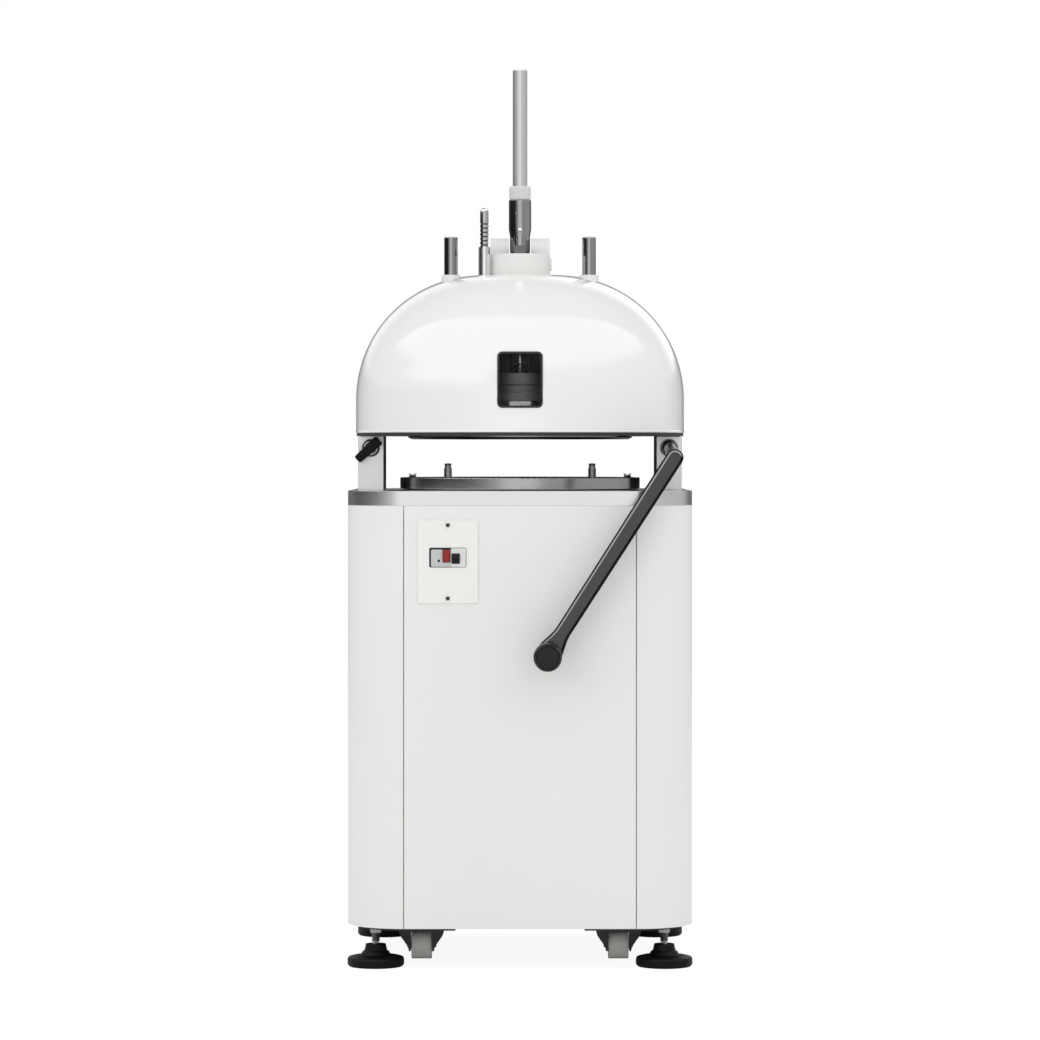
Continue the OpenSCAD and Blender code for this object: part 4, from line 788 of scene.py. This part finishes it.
def foot_stem():
    """A ball on a neck, and the thread above it."""
    bottom, top = stem_low.z / MM, stem_high.z / MM
    points = [
        (0, bottom), (5, bottom), (BALL_RADIUS, bottom + 3), (BALL_RADIUS, bottom + 5),
        (BALL_NECK, bottom + 8), (BALL_NECK, bottom + 9.5), (STEM_RADIUS, bottom + 11),
    ]
    up = bottom + 12
    while up + THREAD_PITCH < top:
        points += [(STEM_RADIUS, up), (STEM_RADIUS - THREAD_DEPTH, up + THREAD_PITCH / 2)]
        up += THREAD_PITCH
    points += [(STEM_RADIUS, top), (0, top)]
    return turned(scaled(points), steps=36)


def hex_nut():
    """A six-sided nut, measured across its flats."""
    bm = bmesh.new()
    corner = NUT_ACROSS / math.sqrt(3)
    bmesh.ops.create_cone(bm, cap_ends=True, segments=6, radius1=corner, radius2=corner, depth=NUT_HEIGHT)
    return rounded(bm, NUT_EDGE, segments=2)


def at_each_foot(make, z=0.0):
    """Four of a piece, one in each place."""
    return joined(*(moved(make(), x, y, z) for x, y in FOOT_PLACES))


put(at_each_foot(foot_pad), "levelling_pads", "black_plastic", "foot_pads")
stems = joined(at_each_foot(foot_stem), at_each_foot(hex_nut, NUT_LEVEL))
put(stems, "levelling_stems", "zinc", "foot_stems")
print("feet:", len(FOOT_PLACES), "at", round(foot_x, 3), round(foot_y, 3))

# %% [markdown]
# ## Caster wheels
# A wheel is a grey tyre with rounded shoulders on a narrower hub. Only the tread shows from the front, but
# the machine can be walked round, so the dished disc is there as well.

# %% Caster wheels
WHEEL_BORE, HUB_RADIUS, DISH_RADIUS = 4 * MM, 10 * MM, 11 * MM
TYRE_LIP, TYRE_DEPTH = 6 * MM, 8 * MM
HUB_SHARE, DISH_SHARE = 0.9, 0.55
LIE_ALONG_X = Matrix.Rotation(math.pi / 2, 4, "Y")


def wheel(radius, width):
    """One wheel about Z. The hub and the dished disc take their shares of the half width."""
    half = width / 2
    hub, dish = half * HUB_SHARE, half * DISH_SHARE
    upper = [
        (radius, half), (radius - TYRE_LIP, half), (radius - TYRE_DEPTH, dish), (DISH_RADIUS, dish),
        (HUB_RADIUS, hub), (WHEEL_BORE, hub),
    ]
    lower = [(across, -up) for across, up in reversed(upper)]
    return turned(lower + upper, 1.6 * MM, steps=64, closed=True)


for side in ("left", "right"):
    low, high, mid = box_of("front_wheel_" + side)
    tyre = moved(wheel((high.z - low.z) / 2, high.x - low.x), *mid, turn=LIE_ALONG_X)
    put(tyre, "caster_tyre_" + side, "wheel_grey", "front_wheel_" + side)
rear_width = high.x - low.x
low, high, mid = box_of("rear_wheels")
rear_radius = (high.z - low.z) / 2
rear_x = high.x - rear_width / 2
tyres = [moved(wheel(rear_radius, rear_width), x, mid.y, mid.z, LIE_ALONG_X) for x in (-rear_x, rear_x)]
put(joined(*tyres), "rear_tyres", "wheel_grey", "rear_wheels")
print("wheels: radius", round(rear_radius, 4), "width", round(rear_width, 4))

# %% [markdown]
# ## Caster forks
# A fork is stamped from one strip: a flat crown under the swivel and two legs that sweep in towards the
# axle. Its front outline is drawn once, pushed back to its depth and rounded along its rims. An axle
# bolt with a washer holds each leg.

# %% Caster forks
LEG_TURNS = 10
CROWN_HEIGHT = 7 * MM
LEG_HALF_WIDTH = 23.6 * MM
WHEEL_ROOM = 1 * MM
BOLT_SEAT = 22.8 * MM
AXLE_BOLT = [(0, 0), (6.5, 0), (6.5, 1.2), (5, 1.2), (5, 4), (4.2, 4.6), (0, 4.6)]


def mirrored(right):
    """A whole outline from its right half, whose first and last points lie in the middle."""
    return right + [(-across, up) for across, up in reversed(right[1:-1])]


def extruded(bm, faces, depth):
    """Grows some faces of a bmesh into a solid, along Y."""
    grown = bmesh.ops.extrude_face_region(bm, geom=faces)["geom"]
    far = [item for item in grown if isinstance(item, bmesh.types.BMVert)]
    bmesh.ops.translate(bm, vec=(0, depth, 0), verts=far)
    bmesh.ops.recalc_face_normals(bm, faces=bm.faces[:])
    return bm


def fork_outline(low, high, half_slot, slot_top):
    """The right half of the fork from the front, from the crown's middle round to the slot's middle."""
    half_top = (high.x - low.x) / 2
    shoulder = high.z - CROWN_HEIGHT
    points = [(0.0, high.z), (half_top, high.z)]
    for i in range(LEG_TURNS + 1):
        share = i / LEG_TURNS
        sweep = (1 + math.cos(math.pi * share)) / 2
        across = LEG_HALF_WIDTH + (half_top - LEG_HALF_WIDTH) * sweep
        points.append((across, shoulder + (low.z - shoulder) * share))
    return points + [(half_slot, low.z), (half_slot, slot_top), (0.0, slot_top)]


def stamped_fork(node, wheel_node):
    """A fork with room for its wheel, and a bolt on each leg."""
    low, high, mid = box_of(node)
    wheel_low, wheel_high, wheel_mid = box_of(wheel_node)
    half_slot = (wheel_high.x - wheel_low.x) / 2 + WHEEL_ROOM
    right = fork_outline(low, high, half_slot, wheel_high.z + WHEEL_ROOM)
    bm = bmesh.new()
    rim = [bm.verts.new((mid.x + across, low.y, up)) for across, up in mirrored(right)]
    extruded(bm, [bm.faces.new(rim)], high.y - low.y)
    rounded(bm, 0.7 * MM, above=50, segments=2)
    for side in (-1, 1):
        bolt = turned(scaled(AXLE_BOLT), steps=6)
        lie = Matrix.Rotation(side * math.pi / 2, 4, "Y")
        joined(bm, moved(bolt, mid.x + side * BOLT_SEAT, wheel_mid.y, wheel_mid.z, lie))
    return bm


for side in ("left", "right"):
    fork = stamped_fork("front_fork_" + side, "front_wheel_" + side)
    put(fork, "caster_fork_" + side, "black_paint", "front_fork_" + side)
print("forks: two, with", LEG_TURNS, "turns to a leg")

# %% [markdown]
# ## Rounding lever
# The arm hangs in front of the machine: a boss on the shaft, a neck that swells into the elbow, and a flat
# arm with well rounded edges that widens where the grip is bolted on. The neck is turned and tilted; the
# arm is one outline, extruded and rounded.

# %% Arm of the rounding lever
ARM_HALF_WIDTH = 15.8 * MM
ARM_WAIST = 14.4 * MM
ARM_EDGE = 5.5 * MM
ARM_THICK = 22 * MM
ARM_FLARE = 55 * MM
ARC_TURNS, EDGE_TURNS = 24, 6
FLAT_FACE, EDGE_FACE = -0.995, -0.90
ELBOW_DROP = 18 * MM
pivot = Vector(joint_of["rounding_swing"]["pos_m"])
grip_low, grip_high, grip_mid = box_of("rounding_grip")
elbow = Vector((pivot.x, grip_high.y + ARM_THICK / 2, pivot.z - ELBOW_DROP))
reach = Vector((grip_mid.x - elbow.x, 0, grip_mid.z - elbow.z))
arm_length = reach.length
end_radius = (grip_high.x - grip_low.x) / 2 - 2 * MM


def arm_outline():
    """Points round the arm with the elbow at the origin and the grip at -Z."""
    right = arc(0, 0, ARM_HALF_WIDTH, math.pi / 2, 0, ARC_TURNS)
    for i in range(ARC_TURNS + 1):
        share = i / ARC_TURNS
        swell = (1 - math.cos(math.pi * share)) / 2
        across = ARM_WAIST + (end_radius - ARM_WAIST) * swell
        right.append((across, -arm_length + ARM_FLARE * (1 - share)))
    right += arc(0, -arm_length, end_radius, 0, -math.pi / 2, ARC_TURNS)[1:]
    return mirrored(right)


def swelled(bm, face, radius):
    """Rounds the rim of a flat face by insets that follow a quarter circle."""
    for i in range(EDGE_TURNS):
        start = math.pi / 2 * i / EDGE_TURNS
        stop = math.pi / 2 * (i + 1) / EDGE_TURNS
        bmesh.ops.inset_region(
            bm, faces=[face], use_even_offset=True,
            thickness=radius * (math.cos(start) - math.cos(stop)),
            depth=radius * (math.sin(stop) - math.sin(start)),
        )


def flat_arm():
    """The arm itself. Its faces are marked for a painted highlight along the upper edge, and where it is
    matt.
    """
    bm = bmesh.new()
    straight = ARM_THICK - 2 * ARM_EDGE
    rim = [bm.verts.new((x, straight / 2, z)) for x, z in arm_outline()]
    extruded(bm, [bm.faces.new(rim)], -straight)
    for side in [face for face in bm.faces if len(face.verts) > 4]:
        swelled(bm, side, ARM_EDGE)
    lean = math.atan2(reach.x, reach.z) + math.pi
    moved(bm, *elbow, turn=Matrix.Rotation(lean, 4, "Y"))
    painted_highlight = bm.faces.layers.float.new("painted_highlight_edge")
    matt = bm.faces.layers.float.new("matt_edge")
    bm.normal_update()
    for face in bm.faces:
        # Faces of the upper rounding next to the front face carry the painted highlight.
        face[painted_highlight] = float(face.normal.z > 0.05 and FLAT_FACE < face.normal.y < EDGE_FACE)
        face[matt] = float(face.normal.y > FLAT_FACE)
    return bm


arm = flat_arm()
print("arm:", round(arm_length, 3), "m from the elbow to the grip")

# %% Neck and grip
LIE_ALONG_Y = Matrix.Rotation(math.pi / 2, 4, "X")
BOSS_BORE, BOSS_LENGTH = 11, 36
NECK_RADIUS, ELBOW_RADIUS = 11.6, 14.0
arm_high = box_of("rounding_arm")[1]


def faced(points, x, y, z, edge, steps=72, closed=False):
    """A turned piece laid down, so that its profile, in millimetres, rises towards the viewer."""
    return moved(turned(scaled(points), edge * MM, steps, closed), x, y, z, LIE_ALONG_Y)


def arm_neck():
    """The boss and the neck, turned about the line from the shaft to the elbow."""
    boss_radius = (arm_high.z - pivot.z) / MM
    boss_back = -arm_high.y / MM
    boss_front = boss_back + BOSS_LENGTH
    elbow_at = -elbow.y / MM
    boss = faced([
        (BOSS_BORE, boss_back), (boss_radius, boss_back), (boss_radius, boss_front - 3),
        (boss_radius - 2.5, boss_front), (0, boss_front),
    ], pivot.x, 0, pivot.z, 1.0, 48)
    run = elbow_at - boss_front
    neck = turned(scaled([
        (0, -2), (NECK_RADIUS, -2), (NECK_RADIUS, run * 0.15), (NECK_RADIUS, run * 0.8),
        (12.4, run * 0.88), (ELBOW_RADIUS, run - 10), (ELBOW_RADIUS, run), (0, run),
    ]), steps=48)
    tilt = math.atan2(ELBOW_DROP, run * MM)
    turn = Matrix.Rotation(math.pi / 2 + tilt, 4, "X")
    return joined(boss, moved(neck, pivot.x, -boss_front * MM, pivot.z, turn))


put(joined(arm, arm_neck()), "rounding_lever_arm", "lever_black", "rounding_arm", crease=38)

grip_radius = (grip_high.x - grip_low.x) / 2 / MM
grip_length = (grip_high.y - grip_low.y) / MM
grip = faced([
    (0, 0), (grip_radius - 4, 0), (grip_radius - 0.8, 4), (grip_radius, grip_length * 0.5),
    (grip_radius - 0.6, grip_length - 6), (grip_radius - 4.5, grip_length - 0.8),
    (0.84 * grip_radius, grip_length - 0.4), (0.82 * grip_radius, grip_length - 2.2),
    (0.76 * grip_radius, grip_length - 2.2), (0.74 * grip_radius, grip_length - 0.2), (0, grip_length),
], grip_mid.x, grip_high.y, grip_mid.z, 0.7)
put(grip, "rounding_lever_grip", "grip_black", "rounding_grip")
print("grip: radius", round(grip_radius, 1), "length", round(grip_length, 1), "mm")

# %% [markdown]
# ## Lock knob
# A wing knob: a bar with squared ends across a round rose. The long end carries a shallow thumb inset.

# %% Lock knob
KNOB_LEAN = math.radians(42)
BAR_DEPTH = 18 * MM
BAR_SHORT, BAR_LONG = 22.5 * MM, 34 * MM
BAR_WIDE, BAR_TAPER = 19.5 * MM, 0.82
knob_low = box_of("lock_knob")[0]
knob_axis = Vector(joint_of["lock_turn"]["pos_m"])

# The bar narrows towards its long end. Its corners are rounded first and then its rims.
wing = plate(BAR_SHORT + BAR_LONG, BAR_DEPTH, BAR_WIDE)
long_end = [vert for vert in wing.verts if vert.co.x < 0]
bmesh.ops.scale(wing, vec=(1, 1, BAR_TAPER), verts=long_end)
rounded(wing, 3.5 * MM, chosen=lambda e: abs(e.verts[0].co.y - e.verts[1].co.y) > BAR_DEPTH / 2)
rounded(wing, 2 * MM)
moved(wing, x=(BAR_SHORT - BAR_LONG) / 2)
inset = plate(11 * MM, 1.6 * MM, 8 * MM, edge=0.6 * MM)
moved(inset, x=9 * MM - BAR_LONG, y=-BAR_DEPTH / 2)
lean = Matrix.Rotation(-KNOB_LEAN, 4, "Y")
moved(joined(wing, inset), knob_axis.x, knob_low.y + BAR_DEPTH / 2, knob_axis.z, lean)
put(wing, "lock_wing", "knob_black", "lock_knob")
rose_top = -(knob_low.y + BAR_DEPTH) / MM
rose = faced([
    (0, rose_top - 10), (15.5, rose_top - 10), (16, rose_top - 8), (14.5, rose_top - 3),
    (9, rose_top), (0, rose_top),
], knob_axis.x, 0, knob_axis.z, 0.8, 48)
put(rose, "lock_rose", "knob_black", body="lock_knob", slot=slot_of["lock_knob"])
washer = faced([
    (10.6, rose_top - 5), (13.6, rose_top - 5), (13.6, rose_top - 1.2), (10.6, rose_top - 0.6),
], knob_axis.x, 0, knob_axis.z, 0.4, 48, closed=True)
put(washer, "lock_washer", "zinc", body="lock_knob", slot="machine_steel")
print("lock knob: bar", round((BAR_SHORT + BAR_LONG) / MM, 1), "mm")

# %% [markdown]
# ## Press lever and the rods on the head
# All of these are bar and tube, so they are turned. Their ends are chamfered and rounded, because the top
# of a plain cylinder reads as a cut-off at once.


# %% Tube, cuff and guide posts
def bar(node, cut):
    """A plain round bar in the place of a node, its ends chamfered; returns it and its radius."""
    low, high = box_of(node)[:2]
    radius = (high.y - low.y) / 2
    points = [
        (0, low.z), (radius - cut, low.z), (radius, low.z + cut), (radius, high.z - cut),
        (radius - cut, high.z), (0, high.z),
    ]
    return turned(points, cut * 0.6, steps=64), radius


for node, cut, name, finish in (
    ("lever_tube", 1.0, "press_lever_tube", "tube_steel"),
    ("socket_ring", 2.0, "press_lever_ring", "cuff_white"),
):
    piece, radius = bar(node, cut * MM)
    mid = box_of(node)[2]
    put(moved(piece, mid.x, mid.y), name, finish, node)
    print(name, "has a radius of", round(radius, 4))

post, post_radius = bar("guide_posts", 1.4 * MM)
low, high, mid = box_of("guide_posts")
post_x = high.x - post_radius
posts = joined(moved(post.copy(), -post_x, mid.y), moved(post, post_x, mid.y))
put(posts, "guide_rods", "chrome", "guide_posts")
print("guide posts have a radius of", round(post_radius, 4))

# %% Scale rod
ROD_RADIUS, GROOVE_RADIUS = 8, 6.9
low, high, mid = box_of("scale_rod")
bottom, top = low.z / MM, high.z / MM
shank = [(0, bottom), (ROD_RADIUS, bottom)]
for i in range(MARKS):
    at = top - FIRST_MARK + i * MARK_PITCH
    shank += [(ROD_RADIUS, at - 1.4), (GROOVE_RADIUS, at - 0.9)]
    shank += [(GROOVE_RADIUS, at + 0.9), (ROD_RADIUS, at + 1.4)]
shank += [(ROD_RADIUS, top - 8), (7.2, top - 4.2), (5.2, top - 1.6), (2.6, top - 0.3), (0, top)]
put(moved(turned(scaled(shank), steps=48), mid.x, mid.y), "scale_bar", "scale_chrome", "scale_rod")
print("scale rod:", MARKS, "marks, every", MARK_PITCH, "mm")

# %% Lever socket
SOCKET_NECK, NECK_HEIGHT, TAPER_HEIGHT = 19.4, 33, 44
CLAMP_BOLT = [(0, -9), (4.4, -9), (4.4, 0.2), (3.6, 1.9), (1.9, 3.0), (0, 3.3)]
SLIT_WIDTH, SLIT_DEPTH, SLIT_SIDE = 1.0 * MM, 3 * MM, 4 * MM
low, high, mid = box_of("lever_socket")
bottom, top = low.z / MM, high.z / MM
socket_radius = (high.x - low.x) / 2 / MM
neck_top, taper_top = bottom + NECK_HEIGHT, bottom + TAPER_HEIGHT
socket = turned(scaled([
    (0, bottom), (SOCKET_NECK, bottom), (SOCKET_NECK, neck_top), (socket_radius, taper_top),
    (socket_radius, top), (0, top),
]), 1.4 * MM)
put(moved(socket, mid.x, mid.y), "press_lever_socket", "chrome", "lever_socket")
bolt_y = mid.y - (socket_radius - 0.6) * MM
# The bolt takes the lighter chrome, a painted highlight.
bolt = faced(CLAMP_BOLT, mid.x, bolt_y, (taper_top - 1) * MM, 0.6, 36)
put(bolt, "socket_bolt", "highlight_chrome", body="press_lever", slot=slot_of["lever_socket"])
slit_height = neck_top - bottom - 2
slit_y = mid.y - (SOCKET_NECK - 1.75) * MM
slit_z = low.z + (slit_height / 2 + 1) * MM
slits = []
for x in (mid.x - SLIT_SIDE, mid.x + SLIT_SIDE):
    slit = plate(SLIT_WIDTH, SLIT_DEPTH, slit_height * MM, edge=0.2 * MM)
    slits.append(moved(slit, x, slit_y, slit_z))
put(joined(*slits), "socket_slits", "dark_screw", body="press_lever", slot="machine_steel")
print("socket: radius", round(socket_radius, 1), "neck", SOCKET_NECK, "mm")

# %% [markdown]
# ## Switch
# The plate is pressed sheet with a raised rim round its cut-out. Behind it sits the switch: a grey face
# with a pilot hole and the red stop button, and a paler raised block round the black start button.

# %% Frames of the switch
CUT_WIDTH, CUT_HEIGHT, CUT_RISE = 68 * MM, 36 * MM, 7.8 * MM
RIM_WIDTH = 9 * MM
CORNER_TURNS = 4
plate_low, _, plate_mid = box_of("switch_plate")
face_y = plate_low.y
cut_x, cut_z = plate_mid.x, plate_mid.z + CUT_RISE


def outline(bm, x, z, width, height, corner):
    """A wire rectangle in the XZ plane with rounded corners; returns its edges."""
    half_w, half_h = width / 2 - corner, height / 2 - corner
    points = []
    for i, (right, upper) in enumerate(((-1, -1), (1, -1), (1, 1), (-1, 1))):
        start = math.pi * (1 + i / 2)
        across, up = x + right * half_w, z + upper * half_h
        points += arc(across, up, corner, start, start + math.pi / 2, CORNER_TURNS)
    corners = [bm.verts.new((across, 0, up)) for across, up in points]
    return [bm.edges.new(pair) for pair in zip(corners, corners[1:] + corners[:1])]


def surround(name, finish, slot, outer, inner, back, front, edge):
    """Puts a frame between two outlines. Its planes count in millimetres back from the plate's face."""
    bm = bmesh.new()
    loops = outline(bm, *outer) + outline(bm, *inner)
    faces = bmesh.ops.bridge_loops(bm, edges=loops)["faces"]
    extruded(bm, faces, (front - back) * MM)
    rounded(bm, edge * MM, above=60, segments=2)
    put(moved(bm, y=face_y + back * MM), name, finish, body="base", slot=slot)


surround(
    "switch_rim", "switch_white", "switch_white",
    (cut_x, cut_z, CUT_WIDTH + RIM_WIDTH, CUT_HEIGHT + RIM_WIDTH, 6 * MM),
    (cut_x, cut_z, CUT_WIDTH + 0.4 * MM, CUT_HEIGHT + 0.4 * MM, 3 * MM),
    0.5, -1.2, 0.7,
)
low, high, mid = box_of("start_button")
size = high - low
block_left = low.x - 1.6 * MM
block_right = cut_x + CUT_WIDTH / 2 - 0.8 * MM
block_x, block_width = (block_left + block_right) / 2, block_right - block_left
surround(
    "start_block", "switch_pale", "switch_grey",
    (block_x, cut_z, block_width, CUT_HEIGHT - 1.2 * MM, 1.5 * MM),
    (mid.x, mid.z, size.x + 0.8 * MM, size.z + 0.8 * MM, 1 * MM),
    1.4, -0.4, 0.5,
)
# A black frame inside the cut-out, wider at the left and the top, is painted shade: the shadow in the
# recess.
surround(
    "switch_shade_frame", "edging_rubber", "edging_rubber",
    (cut_x, cut_z, CUT_WIDTH + 0.2 * MM, CUT_HEIGHT + 0.2 * MM, 3 * MM),
    (cut_x + 0.9 * MM, cut_z - 1.1 * MM, CUT_WIDTH - 4.4 * MM, CUT_HEIGHT - 4.2 * MM, 2.5 * MM),
    1.6, 0.3, 0.3,
)
# A black ring round the stop button is painted shade: the shadow in the gap round it.
low, high, mid = box_of("stop_button")
size = high - low
surround(
    "stop_shade_ring", "edging_rubber", "edging_rubber",
    (mid.x, mid.z, size.x + 2.4 * MM, size.z + 2.4 * MM, 1 * MM),
    (mid.x, mid.z, size.x + 0.2 * MM, size.z + 0.2 * MM, 0.6 * MM),
    1.6, 0.4, 0.2,
)
print("switch: cut-out", CUT_WIDTH, CUT_HEIGHT, "at", round(cut_x, 4), round(cut_z, 4))

# %% Pilot hole and buttons
BUTTON_BOW = 2.6 * MM
PILOT_HOLE = [(0, -1), (2.3, -1), (2.3, 0.7), (0, 1.1)]


def rocker(width, depth, height):
    """A button whose face bows out between its upper and lower ends."""
    bm = plate(width, depth, height)
    upright = [edge for edge in bm.edges if rise(edge) > height / 2]
    bmesh.ops.subdivide_edges(bm, edges=upright, cuts=9, use_grid_fill=True)
    for vert in bm.verts:
        if vert.co.y < 0:
            share = 2 * vert.co.z / height
            vert.co.y += BUTTON_BOW * share * share
    return rounded(bm, 0.8 * MM, above=50)


pilot = faced(PILOT_HOLE, cut_x - 16.5 * MM, face_y + 1.0 * MM, cut_z - 6 * MM, 0.3, 24)
put(pilot, "pilot_hole", "start_black", body="base", slot="switch_grey")

for node, finish in (("start_button", "start_black"), ("stop_button", "stop_red")):
    low, high, mid = box_of(node)
    size = high - low
    put(moved(rocker(*size), *mid), node + "_cap", finish, node)
    print(node, "bows by", BUTTON_BOW, "m")

# %% [markdown]
# ## Knife springs
# Four small coils hold the knives up in the press head. When the knives go down, the nuts on their rods
# close the coils. Here the coils are only smooth shaded and given a mesh of their own.

# %% Knife springs
coil_low, coil_high, coil_mid = box_of("knife_springs")
stroke = max(abs(end) for end in joint_of["knife_slide"]["range_m"])
coils = softened("knife_springs", 0)
1 - stroke / (coil_high.z - coil_low.z)
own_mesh(coils)
print("knife springs close by", round(stroke, 4), "of", round(coil_high.z - coil_low.z, 4))

# %% [markdown]
# ## Sizes and the end
# The box of the dressed object is printed. The dressed object has to stay inside the box of the
# plain one.

# %% Sizes and the end
low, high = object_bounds()
print("visual box:", [round(side, 3) for side in high - low])
